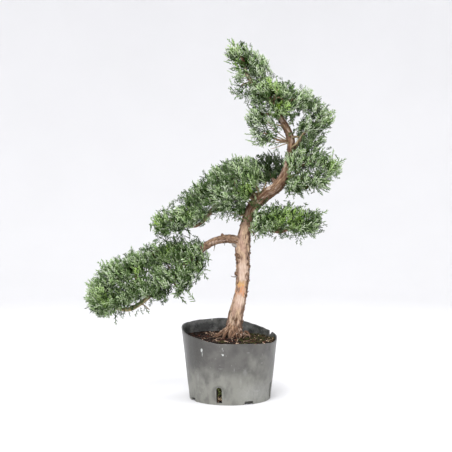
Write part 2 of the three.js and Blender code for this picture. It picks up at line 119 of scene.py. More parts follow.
def in_oval(place: tuple[float, float], oval: Oval) -> bool:
    """Returns whether a place in the view is in an oval, given as its middle and its half sizes."""
    x, z, width, height = oval
    return ((place[0] - x) / width) ** 2 + ((place[1] - z) / height) ** 2 < 1


def at_bearing(angle: float, radius: float, z: float) -> Point:
    """Returns the point at a bearing, a radius and a height."""
    return (radius * math.cos(angle), radius * math.sin(angle), z)


def tube(rings: int, sides: int) -> list[tuple[int, ...]]:
    """Joins rings of points to a closed skin with a point at each end.

    Args:
        rings: How many rings there are.
        sides: How many points each ring has.

    Returns:
        The faces, for points that start and end with the skin's two ends.
    """
    faces = [(0, 1 + (i + 1) % sides, 1 + i) for i in range(sides)]
    for first in range(1, 1 + (rings - 1) * sides, sides):
        for i in range(sides):
            k = (i + 1) % sides
            faces.append((first + i, first + k, first + sides + k, first + sides + i))
    first = 1 + (rings - 1) * sides
    faces += [(first + i, first + (i + 1) % sides, first + sides) for i in range(sides)]
    return faces


def slab(count: int) -> list[tuple[int, ...]]:
    """Returns the faces of a closed slab between two outlines of as many points."""
    faces = [tuple(range(count))[::-1], tuple(range(count, 2 * count))]
    return faces + [(i, (i + 1) % count, count + (i + 1) % count, count + i) for i in range(count)]


class Draws:
    """A small seeded generator of even draws from 0 to 1."""

    MASK = 0xFFFFFFFF

    def __init__(self, seed: int) -> None:
        """Starts the row of draws at a seed."""
        self.state = seed & self.MASK

    def next(self) -> float:
        """Makes the next draw.

        Returns:
            The draw.
        """
        self.state = (self.state + 0x6D2B79F5) & self.MASK
        t = self.state
        t = ((t ^ (t >> 15)) * (t | 1)) & self.MASK
        t ^= (t + ((t ^ (t >> 7)) * (t | 61) & self.MASK)) & self.MASK
        return ((t ^ (t >> 14)) & self.MASK) / 4294967296

    def between(self, low: float, high: float) -> float:
        """Returns a draw between low and high."""
        return low + (high - low) * self.next()

    def pick(self, count: int) -> int:
        """Returns a whole number from 0 up to, but not with, a count."""
        return int(self.next() * count)

    def lean(self, most: float) -> Vector:
        """Returns an upward direction that leans to any side, each way by a slope of no more than most."""
        return Vector((self.between(-most, most), self.between(-most, most), 1))


class MeshDraft:
    """Points in millimetres, faces and values of a mesh in the making."""

    def __init__(self) -> None:
        """Starts with nothing."""
        self.points: list[Point] = []
        self.faces: list[tuple[int, ...]] = []
        self.values: dict[str, list] = {}

    def add(self, points: Iterable[Point], faces: Iterable[Sequence[int]], **values: Sequence) -> None:
        """Adds a closed form.

        Args:
            points: Its points.
            faces: Its faces, counted from its own first point.
            **values: For each named value one number, or one vector, for each of its points.
        """
        first = len(self.points)
        self.points.extend(tuple(point) for point in points)
        self.faces.extend(tuple(first + i for i in face) for face in faces)
        for name, row in values.items():
            self.values.setdefault(name, []).extend(row)

    def mesh(self, name: str) -> bpy.types.Mesh:
        """Makes the mesh.

        Args:
            name: The mesh's name.

        Returns:
            The mesh, in metres, with a named attribute for each value.
        """
        mesh = bpy.data.meshes.new(name)
        mesh.from_pydata([tuple(v * MM for v in point) for point in self.points], [], self.faces)
        for key, row in self.values.items():
            array = np.asarray(row, float)
            kind = "FLOAT" if array.ndim == 1 else "FLOAT_VECTOR"
            attribute = mesh.attributes.new(key, kind, "POINT")
            attribute.data.foreach_set("value" if array.ndim == 1 else "vector", array.ravel())
        mesh.update()
        return mesh

    def piece(self, name: str, *finishes: Material) -> bpy.types.Object:
        """Makes the mesh and its object, and puts it in the scene.

        Args:
            name: The object's name.
            *finishes: Its materials.

        Returns:
            The object, at the origin.
        """
        return place_in_scene(name, self.mesh(name), *finishes)


def place_in_scene(name: str, mesh: bpy.types.Mesh, *finishes: Material) -> bpy.types.Object:
    """Puts a mesh in the scene as an object at the origin.

    Args:
        name: The object's name.
        mesh: Its mesh.
        *finishes: Materials to add to the mesh.

    Returns:
        The object.
    """
    for finish in finishes:
        mesh.materials.append(finish)
    piece = bpy.data.objects.new(name, mesh)
    bpy.context.scene.collection.objects.link(piece)
    return piece


def baked(piece: bpy.types.Object) -> bpy.types.Mesh:
    """Returns a piece's mesh with its modifiers worked in, as a new plain mesh."""
    depsgraph = bpy.context.evaluated_depsgraph_get()
    return bpy.data.meshes.new_from_object(
        piece.evaluated_get(depsgraph), preserve_all_data_layers=True, depsgraph=depsgraph
    )


def make_smooth(mesh: bpy.types.Mesh) -> None:
    """Shades all the faces of a mesh smoothly."""
    mesh.polygons.foreach_set("use_smooth", [True] * len(mesh.polygons))


def dress(piece: bpy.types.Object, slot: str, *nodes: str) -> None:
    """Makes a finished piece stand for its CAD nodes.

    Args:
        piece: The finished piece.
        slot: The record's material slot; not used.
        *nodes: The nodes that it stands for.
    """
    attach(piece, "root")
    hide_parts(*nodes)
    triangles = sum(len(face.vertices) - 2 for face in piece.data.polygons)
    LOG.info("%s: %d triangles", piece.name, triangles)


class ShaderGraph:
    """Builds one procedural material round a Principled shader."""

    def __init__(self, name: str, roughness: float, specular: float = 0.5) -> None:
        """Makes the material, with the values that are the same all over it.

        Args:
            name: The material's name.
            roughness: How rough it is.
            specular: How strongly it shines.
        """
        self.material = bpy.data.materials.new(name)
        self.material.use_nodes = True
        self.nodes = self.material.node_tree.nodes
        self.links = self.material.node_tree.links
        self.shader = self.nodes["Principled BSDF"]
        self.shader.inputs["Roughness"].default_value = roughness
        self.shader.inputs["Specular IOR Level"].default_value = specular

    def add(self, kind: str, inputs: dict | None = None, **settings: object) -> bpy.types.Node:
        """Adds a node.

        Args:
            kind: The node's type.
            inputs: Its inputs by name or number, as values or as other nodes' outputs.
            **settings: Its settings.

        Returns:
            The node.
        """
        node = self.nodes.new(kind)
        for key, value in settings.items():
            setattr(node, key, value)
        for key, value in (inputs or {}).items():
            self.feed(node.inputs[key], value)
        return node

    def feed(self, socket: Socket, value: object) -> None:
        """Links an output to an input, or sets the input's own value.

        Args:
            socket: The input.
            value: An output of another node, or a plain value.
        """
        if isinstance(value, Socket):
            self.links.new(value, socket)
        else:
            socket.default_value = value

    def attribute(self, name: str, part: str = "Fac") -> Socket:
        """Returns a value that the mesh's points hold."""
        return self.add("ShaderNodeAttribute", attribute_name=name).outputs[part]

    def place(self, stretch: Point = (1, 1, 1), source: Socket | None = None) -> Socket:
        """Gives the place of a point, in millimetres.

        Args:
            stretch: How many times longer a pattern gets along each axis.
            source: Coordinates to use, or None for the object's own.

        Returns:
            The coordinates.
        """
        source = source or self.add("ShaderNodeTexCoord").outputs["Object"]
        scale = tuple(1 / (MM * value) for value in stretch)
        return self.add("ShaderNodeMapping", {"Vector": source, "Scale": scale}).outputs["Vector"]

    def noise(self, place: Socket, size: float, detail: float = 3, roughness: float = 0.55) -> Socket:
        """Gives a soft random value.

        Args:
            place: Coordinates in millimetres.
            size: Size of its largest blotches, in millimetres.
            detail: How many finer layers it has.
            roughness: How strong the finer layers are.

        Returns:
            The value, mostly from 0.3 to 0.7.
        """
        inputs = {"Vector": place, "Scale": 1 / size, "Detail": detail, "Roughness": roughness}
        return self.add("ShaderNodeTexNoise", inputs).outputs["Fac"]

    def cells(self, place: Socket, size: float, part: str = "Distance") -> Socket:
        """Returns the distance in, or the colour of, cells of a size in millimetres."""
        return self.add("ShaderNodeTexVoronoi", {"Vector": place, "Scale": 1 / size}).outputs[part]

    def math(self, operation: str, *values: object, clamp: bool = False) -> Socket:
        """Works out a value.

        Args:
            operation: The operation's name.
            *values: Numbers or other nodes' outputs.
            clamp: True to keep the result from 0 to 1.

        Returns:
            The result.
        """
        inputs = dict(enumerate(values))
        return self.add("ShaderNodeMath", inputs, operation=operation, use_clamp=clamp).outputs[0]

    def rise(self, value: Socket, low: float, high: float) -> Socket:
        """Returns 0 where a value is at low, 1 where it is at high, and what is between."""
        inputs = {"Value": value, "From Min": low, "From Max": high}
        return self.add("ShaderNodeMapRange", inputs, interpolation_type="SMOOTHSTEP").outputs[0]

    def mix(self, share: object, first: object, second: object) -> Socket:
        """Mixes two colours.

        Args:
            share: How much of the second one there is.
            first: The first colour.
            second: The second colour.

        Returns:
            The mixed colour.
        """
        node = self.add("ShaderNodeMix", data_type="RGBA")
        self.feed(node.inputs[0], share)
        self.feed(node.inputs[6], first)
        self.feed(node.inputs[7], second)
        return node.outputs[2]

    def blend(self, colour: object, other: object, share: object, strength: float) -> Socket:
        """Returns a colour with another laid over it, as far as a share times a strength says."""
        return self.mix(self.math("MULTIPLY", share, strength), colour, other)

    def ramp(self, value: Socket, *stops: tuple[float, Colour]) -> Socket:
        """Turns a value into a colour.

        Args:
            value: The value.
            *stops: Values and their colours, from the lowest up.

        Returns:
            The colour.
        """
        node = self.add("ShaderNodeValToRGB", {"Fac": value})
        elements = node.color_ramp.elements
        while len(elements) < len(stops):
            elements.new(0.5)
        for element, (where, colour) in zip(elements, stops):
            element.position = where
            element.color = colour
        return node.outputs["Color"]

    def bump(self, height: Socket, depth: float, below: Socket | None = None) -> Socket:
        """Gives a rough surface.

        Args:
            height: Relief, from 0 to 1.
            depth: What 1 stands for, in millimetres.
            below: A rough surface that this one lies on.

        Returns:
            The normal.
        """
        node = self.add("ShaderNodeBump", {"Height": height, "Distance": depth * MM})
        if below is not None:
            self.feed(node.inputs["Normal"], below)
        return node.outputs["Normal"]

    def finish(self, colour: object, normal: Socket | None = None, **inputs: object) -> Material:
        """Feeds the shader.

        Args:
            colour: The base colour.
            normal: The rough surface, if there is one.
            **inputs: Other inputs of the shader, with _ for a space.

        Returns:
            The material.
        """
        self.feed(self.shader.inputs["Base Color"], colour)
        if normal is not None:
            self.feed(self.shader.inputs["Normal"], normal)
        for name, value in inputs.items():
            self.feed(self.shader.inputs[name.replace("_", " ")], value)
        return self.material


@dataclass(frozen=True)
class PlasticFinish:
    """Grey nursery-pot plastic, with a chalky haze low down, scuffs, dirt on the inside, painted glints, and
    painted light and shade.
    """

    grey: Colour = shade(74, 72, 70)
    bloom: Colour = shade(126, 126, 119)
    # A dark grey for smudges, and for painted shade.
    dark: Colour = shade(56, 55, 52)
    # The dark inside colour, which also paints shade on the cut walls of the drain slots.
    inner: Colour = shade(26, 27, 26)
    dust: Colour = shade(97, 98, 95)
    chalk_and_glint: Colour = shade(206, 208, 206)
    haze_from: float = 56.0
    haze_to: float = 20.0
    # Each mark on the front: how far right and up it is, its reach both ways, and how strong it is.
    # A mark below nought is dark. The first mark is painted shade on the upper left, the second is
    # painted light low on the right, the next nine, small and bright, are painted glints, and the rest are
    # scuffs.
    marks_and_painted_light: tuple[Mark, ...] = (
        (-45, 62, 24, 30, -1.0), (30, 12, 26, 17, 0.2), (-32.8, 62.6, 1.5, 2.5, 1.0),
        (-32.0, 58.0, 0.9, 3.4, 0.6), (-9.0, 65.6, 0.7, 1.8, 0.45), (-8.1, 63.4, 0.7, 1.5, 0.45),
        (-8.4, 58.4, 1.3, 1.4, 1.0), (-9.8, 59.4, 1.0, 0.8, 0.5), (-4.6, 57.6, 0.8, 0.8, 0.4),
        (20.5, 60.5, 2.8, 0.9, 0.2), (36.5, 47, 1.2, 0.9, 0.3), (4.5, 41, 0.8, 3.4, 0.22),
        (17, 38, 3.0, 6.0, 0.16), (-11, 42.5, 4.0, 1.0, 0.15), (-37, 30, 2.0, 6.0, 0.15),
        (12, 27, 2.0, 5.0, 0.12), (31, 15, 5.0, 2.0, 0.14),
    )
    # Each mark on the inside of the far wall, the same way, with dark ones below nought.
    stains: tuple[Mark, ...] = (
        (-33, 78, 10.0, 8.0, -0.85), (-22.5, 88, 1.6, 2.6, 0.75), (-17, 89, 1.2, 1.4, 0.5),
        (-8, 82, 7.0, 6.0, 0.22), (-45, 85, 6.0, 5.0, 0.2), (22, 80, 7.0, 7.0, 0.15),
        (33, 80, 7.0, 4.0, -0.6),
    )

    def material(self) -> Material:
        """Builds the material.

        Returns:
            The material.
        """
        graph = ShaderGraph("pot_plastic", 0.42, 0.45)
        place = graph.place()
        parts = graph.add("ShaderNodeSeparateXYZ", {0: place})
        right, back, height = (parts.outputs[axis] for axis in "XYZ")
        cloudy = graph.noise(place, 30, 3, 0.5)
        wavering = graph.math("MULTIPLY_ADD", cloudy, 90, -45)
        haze = graph.rise(graph.math("ADD", height, wavering), self.haze_from, self.haze_to)
        soft = graph.noise(graph.place((1, 1, 2)), 9, 4, 0.55)
        haze = graph.math("MULTIPLY", haze, graph.rise(soft, 0.15, 0.55), clamp=True)
        colour = graph.mix(haze, self.grey, self.bloom)
        patches = graph.rise(graph.noise(place, 17, 3), 0.35, 0.65)
        colour = graph.blend(colour, self.bloom, patches, 0.22)
        smudges = graph.rise(graph.noise(place, 11, 5), 0.52, 0.72)
        colour = graph.blend(colour, self.dark, smudges, 0.3)
        # Painted shade in the grooves round the drain slots.
        colour = graph.blend(colour, self.dark, graph.attribute("halo"), 0.45)
        marks = graph.rise(graph.noise(graph.place((0.6, 0.6, 1.6)), 1.6, 2), 0.68, 0.76)
        colour = graph.blend(colour, self.chalk_and_glint, marks, 0.22)
        ragged = graph.math("MULTIPLY_ADD", graph.noise(place, 1.5, 3), 1.2, -0.6)
        front = graph.rise(back, 0.0, -10.0)
        # The front marks: scuffs, painted glints, painted light and painted shade.
        for front_mark in self.marks_and_painted_light:
            share = graph.math("MULTIPLY", self.mark(graph, right, height, ragged, front_mark), front)
            colour = graph.mix(share, colour, self.chalk_and_glint if front_mark[-1] > 0 else self.dark)
        clouds = graph.rise(graph.noise(graph.place((1, 1, 0.8)), 13, 5, 0.6), 0.36, 0.68)
        inside = graph.mix(clouds, self.inner, self.dust)
        specks = graph.rise(graph.noise(place, 1.3, 3), 0.62, 0.72)
        inside = graph.blend(inside, self.chalk_and_glint, specks, 0.35)
        for stain in self.stains:
            share = self.mark(graph, right, height, ragged, stain)
            inside = graph.mix(share, inside, self.chalk_and_glint if stain[-1] > 0 else self.inner)
        colour = graph.mix(graph.attribute("inside"), colour, inside)
        rough = graph.math("MULTIPLY_ADD", haze, 0.28, 0.34)
        fine = graph.bump(graph.noise(place, 0.8, 2), 0.05)
        return graph.finish(colour, graph.bump(graph.noise(place, 7, 3), 0.3, fine), Roughness=rough)

    def mark(self, graph: ShaderGraph, right: Socket, height: Socket, ragged: Socket, spot: Mark) -> Socket:
        """Works out a soft-edged mark at one spot.

        Args:
            graph: The material's nodes.
            right: How far right a place is.
            height: How high it is.
            ragged: What makes the mark's edge uneven.
            spot: The mark, as in the front marks.

        Returns:
            How far the mark covers each place, from 0 to 1.
        """
        x, z, wide, tall, strength = spot
        across = graph.math("DIVIDE", graph.math("SUBTRACT", right, x), wide)
        up = graph.math("DIVIDE", graph.math("SUBTRACT", height, z), tall)
        away = graph.math("ADD", graph.math("MULTIPLY", across, across), graph.math("MULTIPLY", up, up))
        inner = -0.3 if abs(strength) > 0.65 else -0.8
        return graph.math("MULTIPLY", graph.rise(graph.math("ADD", away, ragged), 1.1, inner), abs(strength))


@dataclass(frozen=True)
class BarkFinish:
    """Flaking juniper bark: tan and pink where it has peeled, brown where it hasn't, with painted shade
    under the upper bend.
    """

    peeled: Colour = shade(198, 171, 143)
    pink: Colour = shade(176, 146, 128)
    # The flakes' brown also paints shade under the trunk's upper bend.
    flake: Colour = shade(96, 68, 50)
    crack: Colour = shade(44, 29, 21)
    young: Colour = shade(152, 124, 98)
    young_dark: Colour = shade(90, 62, 47)
    green: Colour = shade(180, 172, 126)
    bare: Colour = shade(192, 138, 100)
    yellow: Colour = shade(198, 158, 96)
    scar: Colour = shade(202, 182, 166)
    root: Colour = shade(152, 124, 100)
    grey: Colour = shade(140, 136, 132)

    def material(self) -> Material:
        """Builds the material.

        Returns:
            The material.
        """
        graph = ShaderGraph("bark", 0.82, 0.25)
        bark = graph.attribute("bark", "Vector")
        along = graph.place((1, 1, 6), bark)
        stripes = graph.noise(along, 1.6, 4, 0.62)
        broad = graph.noise(graph.place((1, 1, 2.5), bark), 7, 4)
        spots = graph.rise(graph.noise(graph.place((1, 1, 1.6), bark), 2.6, 3), 0.56, 0.68)
        old = graph.mix(graph.rise(broad, 0.38, 0.62), self.peeled, self.pink)
        old = graph.blend(old, self.flake, graph.rise(stripes, 0.45, 0.68), 0.55)
        old = graph.blend(old, self.flake, spots, 0.45)
        young = graph.mix(graph.rise(stripes, 0.36, 0.64), self.young_dark, self.young)
        flecks = graph.rise(graph.noise(graph.place((1, 1, 3), bark), 3.2, 3), 0.52, 0.64)
        young = graph.blend(young, self.scar, flecks, 0.6)
        rooty = graph.mix(graph.rise(stripes, 0.4, 0.6), self.young_dark, self.root)
        calm = graph.mix(graph.rise(stripes, 0.35, 0.75), self.scar, self.pink)
        bare = graph.mix(graph.attribute("yellow"), self.bare, self.yellow)
        blotches = graph.rise(graph.noise(graph.place((1, 1, 1.4), bark), 2.4, 4), 0.42, 0.66)
        bare = graph.mix(blotches, bare, self.pink)
        # Each look lies over those before it, as far as the value of its name says.
        looks = {
            "young": young,
            "root": rooty,
            "green": self.green,
            "scar": calm,
            "flaky": self.flake,
            "bare": bare,
            "crack": self.crack,
            "grey": self.grey,
        }
        colour = old
        for name, look in looks.items():
            colour = graph.mix(graph.attribute(name), colour, look)
        fine = graph.bump(graph.noise(graph.place((1, 1, 4), bark), 0.6, 2), 0.14)
        return graph.finish(colour, graph.bump(stripes, 0.6, fine))


@dataclass(frozen=True)
class LeafFinish:
    """Cord-like scale leaves: grey-green, lighter at the shoots' ends, yellow-green where young, with
    painted shade.
    """

    painted_shade: Colour = shade(30, 56, 6)
    dark: Colour = shade(112, 148, 76)
    middle: Colour = shade(164, 188, 132)
    light: Colour = shade(199, 209, 185)
    fresh: Colour = shade(148, 186, 64)
    stem: Colour = shade(120, 88, 58)

    def material(self) -> Material:
        """Builds the material.

        Returns:
            The material.
        """
        graph = ShaderGraph("scale_leaves", 0.62, 0.22)
        place = graph.place()
        patchy = graph.math("MULTIPLY_ADD", graph.noise(place, 14, 2), 0.35, -0.175)
        own = graph.math("MULTIPLY_ADD", graph.attribute("cord"), 1.0, -0.5)
        tone = graph.math("ADD", graph.math("ADD", graph.attribute("tint"), patchy), own, clamp=True)
        colour = graph.ramp(tone, (0.05, self.dark), (0.5, self.middle), (0.95, self.light))
        colour = graph.mix(graph.attribute("fresh"), colour, self.fresh)
        along = graph.attribute("along")
        depth = graph.attribute("depth")
        open_tip = graph.math("MULTIPLY", graph.math("POWER", along, 3), graph.rise(depth, 0.75, 1.0))
        colour = graph.blend(colour, self.light, open_tip, 0.34)
        woody = graph.math("MULTIPLY", graph.rise(along, 0.45, 0.0), graph.rise(depth, 0.8, 0.2))
        colour = graph.blend(colour, self.stem, woody, 0.4)
        # Painted shade: a low depth, deep in a pad or at its outline, and the foot of each spray turn dark.
        colour = graph.blend(colour, self.painted_shade, graph.rise(depth, 1.0, 0.0), 0.9)
        colour = graph.blend(colour, self.painted_shade, graph.rise(along, 0.7, 0.1), 0.8)
        scales = graph.rise(graph.cells(place, 0.8), 0.0, 0.7)
        return graph.finish(colour, graph.bump(scales, 0.12))


@dataclass(frozen=True)
class ShadeFinish:
    """A dark form deep inside a pad: painted shade, in the greens and browns of dry growth."""

    green: Colour = shade(42, 70, 24)
    brown: Colour = shade(60, 52, 30)

    def material(self) -> Material:
        """Builds the material.

        Returns:
            The material.
        """
        graph = ShaderGraph("painted_shade_core", 0.9, 0.1)
        place = graph.place()
        colour = graph.mix(graph.rise(graph.noise(place, 3, 4), 0.42, 0.62), self.green, self.brown)
        return graph.finish(colour, graph.bump(graph.cells(place, 1.6), 1.2))


@dataclass(frozen=True)
class EarthFinish:
    """Potting mix and what lies in it. A value on each crumb says what it is made of."""

    dark: Colour = shade(14, 10, 7)
    brown: Colour = shade(38, 26, 19)
    rust: Colour = shade(88, 48, 37)
    pale: Colour = shade(208, 178, 152)

    def material(self) -> Material:
        """Builds the material.

        Returns:
            The material.
        """
        graph = ShaderGraph("earth", 0.92, 0.2)
        place = graph.place()
        specks = graph.math("MULTIPLY_ADD", graph.noise(place, 2.2, 4), 0.3, -0.15)
        kind = graph.math("ADD", graph.attribute("kind"), specks, clamp=True)
        stops = ((0.05, self.dark), (0.4, self.brown), (0.7, self.rust), (0.95, self.pale))
        return graph.finish(graph.ramp(kind, *stops), graph.bump(graph.noise(place, 1.1, 4), 0.5))


@dataclass(frozen=True)
class MossFinish:
    """Small cushions of dark moss."""

    dark: Colour = shade(17, 17, 9)
    light: Colour = shade(66, 66, 34)
    bright: Colour = shade(118, 128, 72)

    def material(self) -> Material:
        """Builds the material.

        Returns:
            The material.
        """
        graph = ShaderGraph("moss", 0.85, 0.2)
        tone = graph.math("ADD", graph.attribute("along"), graph.noise(graph.place(), 5, 3))
        colour = graph.mix(graph.rise(tone, 0.4, 1.5), self.dark, self.light)
        colour = graph.blend(colour, self.bright, graph.attribute("kind"), 0.7)
        return graph.finish(colour, graph.bump(graph.noise(graph.place(), 0.7, 2), 0.2))


class ScatterTree:
    """A Geometry Nodes tree that stands one of several shapes on each point of a mesh.

    The points hold which way and how large each copy stands, and values that its copy takes on.
    """

    def __init__(self) -> None:
        """Builds the tree."""
        self.group = bpy.data.node_groups.new("scatter", "GeometryNodeTree")
        for name, kind, way in (
            ("Points", "NodeSocketGeometry", "INPUT"),
            ("Shapes", "NodeSocketCollection", "INPUT"),
            ("Shape size", "NodeSocketFloat", "INPUT"),
            ("Size spread", "NodeSocketFloat", "INPUT"),
            ("Seed", "NodeSocketInt", "INPUT"),
            ("Finish", "NodeSocketMaterial", "INPUT"),
            ("Inner form", "NodeSocketObject", "INPUT"),
            ("Copies", "NodeSocketGeometry", "OUTPUT"),
        ):
            self.group.interface.new_socket(name, in_out=way, socket_type=kind)
        given = self.group.nodes.new("NodeGroupInput").outputs
        shapes = self.add("GeometryNodeCollectionInfo", {"Collection": given["Shapes"]})
        shapes.inputs["Separate Children"].default_value = True
        shapes.inputs["Reset Children"].default_value = True
        low = self.math("SUBTRACT", 1.0, given["Size spread"])
        high = self.math("ADD", 1.0, given["Size spread"])
        drawn = {"Seed": given["Seed"], 2: low, 3: high}
        spread = self.add("FunctionNodeRandomValue", drawn, data_type="FLOAT")
        size = self.math("MULTIPLY", given["Shape size"], spread.outputs[1])
        turn = self.add("FunctionNodeEulerToRotation", {0: self.value("turn", "FLOAT_VECTOR")})
        copies = self.add("GeometryNodeInstanceOnPoints", {
            "Points": given["Points"],
            "Instance": shapes.outputs[0],
            "Instance Index": self.value("shape", "INT"),
            "Rotation": turn.outputs[0],
            "Scale": self.math("MULTIPLY", size, self.value("size", "FLOAT")),
        })
        copies.inputs["Pick Instance"].default_value = True
        real = self.add("GeometryNodeRealizeInstances", {"Geometry": copies.outputs[0]})
        smooth = self.add("GeometryNodeSetShadeSmooth", {"Geometry": real.outputs[0]})
        inner = self.add("GeometryNodeObjectInfo", {"Object": given["Inner form"]})
        finished = self.add(
            "GeometryNodeSetMaterial", {"Geometry": smooth.outputs[0], "Material": given["Finish"]}
        )
        joined = self.add("GeometryNodeJoinGeometry", {"Geometry": finished.outputs[0]})
        self.group.links.new(inner.outputs["Geometry"], joined.inputs[0])
        self.add("NodeGroupOutput", {0: joined.outputs[0]})

    def add(self, kind: str, inputs: dict, **settings: object) -> bpy.types.Node:
        """Adds a node.

        Args:
            kind: The node's type.
            inputs: Its inputs, as values or as other nodes' outputs.
            **settings: Its settings.

        Returns:
            The node.
        """
        node = self.group.nodes.new(kind)
        for key, value in settings.items():
            setattr(node, key, value)
        for key, value in inputs.items():
            if isinstance(value, Socket):
                self.group.links.new(value, node.inputs[key])
            else:
                node.inputs[key].default_value = value
        return node

    def math(self, operation: str, first: object, second: object) -> Socket:
        """Returns the result of an operation on two values."""
        return self.add("ShaderNodeMath", {0: first, 1: second}, operation=operation).outputs[0]

    def value(self, name: str, kind: str) -> Socket:
        """Returns a value that the points hold."""
        return self.add("GeometryNodeInputNamedAttribute", {"Name": name}, data_type=kind).outputs[0]

    def grow(self, name: str, points: bpy.types.Mesh, **inputs: object) -> bpy.types.Mesh:
        """Runs the tree on a mesh of points.

        Args:
            name: The new mesh's name.
            points: The points, with their values.
            **inputs: The tree's inputs, with _ for a space.

        Returns:
            The copies as one plain mesh.
        """
        carrier = place_in_scene(name + "_points", points)
        modifier = carrier.modifiers.new("scatter", "NODES")
        modifier.node_group = self.group
        sockets = {item.name: item.identifier for item in self.group.interface.items_tree}
        for key, value in inputs.items():
            modifier[sockets[key.replace("_", " ")]] = value
        mesh = baked(carrier)
        mesh.name = name
        bpy.data.objects.remove(carrier)
        return mesh


class ShapeSet:
    """Small shapes to be repeated, in a collection of their own that isn't in the scene."""

    def __init__(self, name: str, drafts: Sequence[MeshDraft]) -> None:
        """Makes an object for each draft, named so that they keep their order.

        Args:
            name: The collection's name.
            drafts: The shapes in the making.
        """
        self.collection = bpy.data.collections.new(name)
        for i, draft in enumerate(drafts):
            shape = bpy.data.objects.new(f"{name}_{i:02d}", draft.mesh(f"{name}_{i:02d}"))
            self.collection.objects.link(shape)

    def clear(self) -> None:
        """Removes the shapes, once the copies are plain meshes."""
        for shape in list(self.collection.objects):
            bpy.data.objects.remove(shape)
        bpy.data.collections.remove(self.collection)


class Carriers:
    """The points that carry copies, with the values that each copy takes on."""

    def __init__(self) -> None:
        """Starts with none."""
        self.draft = MeshDraft()
        self.shapes: list[int] = []

    def add(
        self, place: Vector, heading: Vector, side: Vector, size: float, shape: int, **values: float
    ) -> None:
        """Adds a point.

        Args:
            place: Where the copy starts, in millimetres.
            heading: Where its own Z axis points.
            side: Where its own X axis points, roughly.
            size: How large it is.
            shape: Which shape it is.
            **values: The values that it takes on.
        """
        ahead = heading.normalized()
        across = (side - ahead * side.dot(ahead)).normalized()
        turn = Matrix((across, ahead.cross(across), ahead)).transposed().to_euler()
        rows = {name: [value] for name, value in values.items()}
        self.draft.add([tuple(place)], [], turn=[tuple(turn)], size=[size], **rows)
        self.shapes.append(shape)

    def mesh(self, name: str) -> bpy.types.Mesh:
        """Makes a mesh of the points, with no faces.

        Args:
            name: The mesh's name.

        Returns:
            The mesh.
        """
        mesh = self.draft.mesh(name)
        mesh.attributes.new("shape", "INT", "POINT").data.foreach_set("value", self.shapes)
        return mesh


def any_side(way: Vector, draws: Draws) -> Vector:
    """Draws a direction square to another.

    Args:
        way: The other direction.
        draws: The random draws.

    Returns:
        The direction.
    """
    around = way.orthogonal().normalized()
    around.rotate(Matrix.Rotation(draws.between(0, TURN), 3, way.normalized()))
    return around


def spindle(
    draft: MeshDraft, line: Sequence[Vector], thickness: Sequence[float], along: Sequence[float],
    cord: float = 0.5,
) -> None:
    """Adds a slim closed cord with three sides and two pointed ends.

    Args:
        draft: The mesh that gets it.
        line: Its middle line, from end to end.
        thickness: Its thickness at each point between the ends.
        along: The value "along" at each point of the line.
        cord: The value "cord" of all its points.
    """
    points = [line[0]]
    values = [along[0]]
    for i, width in enumerate(thickness, start=1):
        ahead = (line[i + 1] - line[i - 1]).normalized()
        across = ahead.orthogonal().normalized()
        other = ahead.cross(across)
        for k in range(3):
            angle = k * TURN / 3
            points.append(line[i] + (across * math.cos(angle) + other * math.sin(angle)) * width / 2)
            values.append(along[i])
    points.append(line[-1])
    values.append(along[-1])
    draft.add(points, tube(len(thickness), 3), along=values, cord=[cord] * len(points))


@dataclass(frozen=True)
class Sprig:
    """A flat spray of cord-like shoots, which grows along +Z and spreads along X."""

    seed: int
    shoots: int = 6
    length: float = 14.0
    thickness: float = 1.08
    angle: float = 0.76
    reach: float = 0.46
    plain: bool = False

    def draft(self) -> MeshDraft:
        """Makes the spray.

        Returns:
            The mesh in the making.
        """
        draws = Draws(self.seed)
        draft = MeshDraft()
        bend = draws.between(-1.0, 1.0)
        width = self.thickness

        def stem(t: float) -> Vector:
            """Returns a point of the middle shoot."""
            return Vector((2 * bend * (t * t - t), 1.0 * t * t, self.length * t))

        line = [stem(t) for t in (0, 0.25, 0.86, 1)]
        spindle(draft, line, (width * 0.8, width), (0, 0.25, 0.85, 1), draws.next())
        for i in range(self.shoots):
            way = 1 if i % 2 else -1
            share = 0.06 + 0.78 * (i + draws.between(0, 0.5)) / self.shoots
            reach = self.length * self.reach * draws.between(0.7, 1.15) * (1.15 - 0.62 * share)
            lean = self.angle + draws.between(-0.15, 0.15)
            out = draws.between(-0.4, 0.5)
            ahead = Vector((way * math.sin(lean), out, math.cos(lean))).normalized()
            start = stem(share)
            tip = start + ahead * reach + Vector((0, 0, 0.08 * reach))
            if self.plain:
                line = (start, start + ahead * reach * 0.6, tip)
                spindle(draft, line, (width,), (0.6 * share, 0.8, 1.0), draws.next())
            else:
                line = (start, start + ahead * reach * 0.2, start + ahead * reach * 0.74, tip)
                along = (0.5 * share, 0.3 + 0.3 * share, 0.9, 1.0)
                spindle(draft, line, (width * 0.9, width * 0.95), along, draws.next())
        return draft


class Habit(Enum):
    """How close a pad's growth is."""

    FULL = 1.0
    OPEN = 0.82
    AIRY = 0.5
    SPARSE = 0.2

    @property
    def core(self) -> float:
        """Returns how large the dark form inside is, as a share of its CAD solid."""
        return {Habit.FULL: 1.0, Habit.OPEN: 0.55}.get(self, 0.0)


@dataclass(frozen=True)
class Pad:
    """A leafy pad: for each lump its middle and its reach to the shoots' ends, and how much painted shade
    dims the pad.
    """

    habit: Habit
    lumps: tuple[Lump, ...]
    gloom: float = 0.0


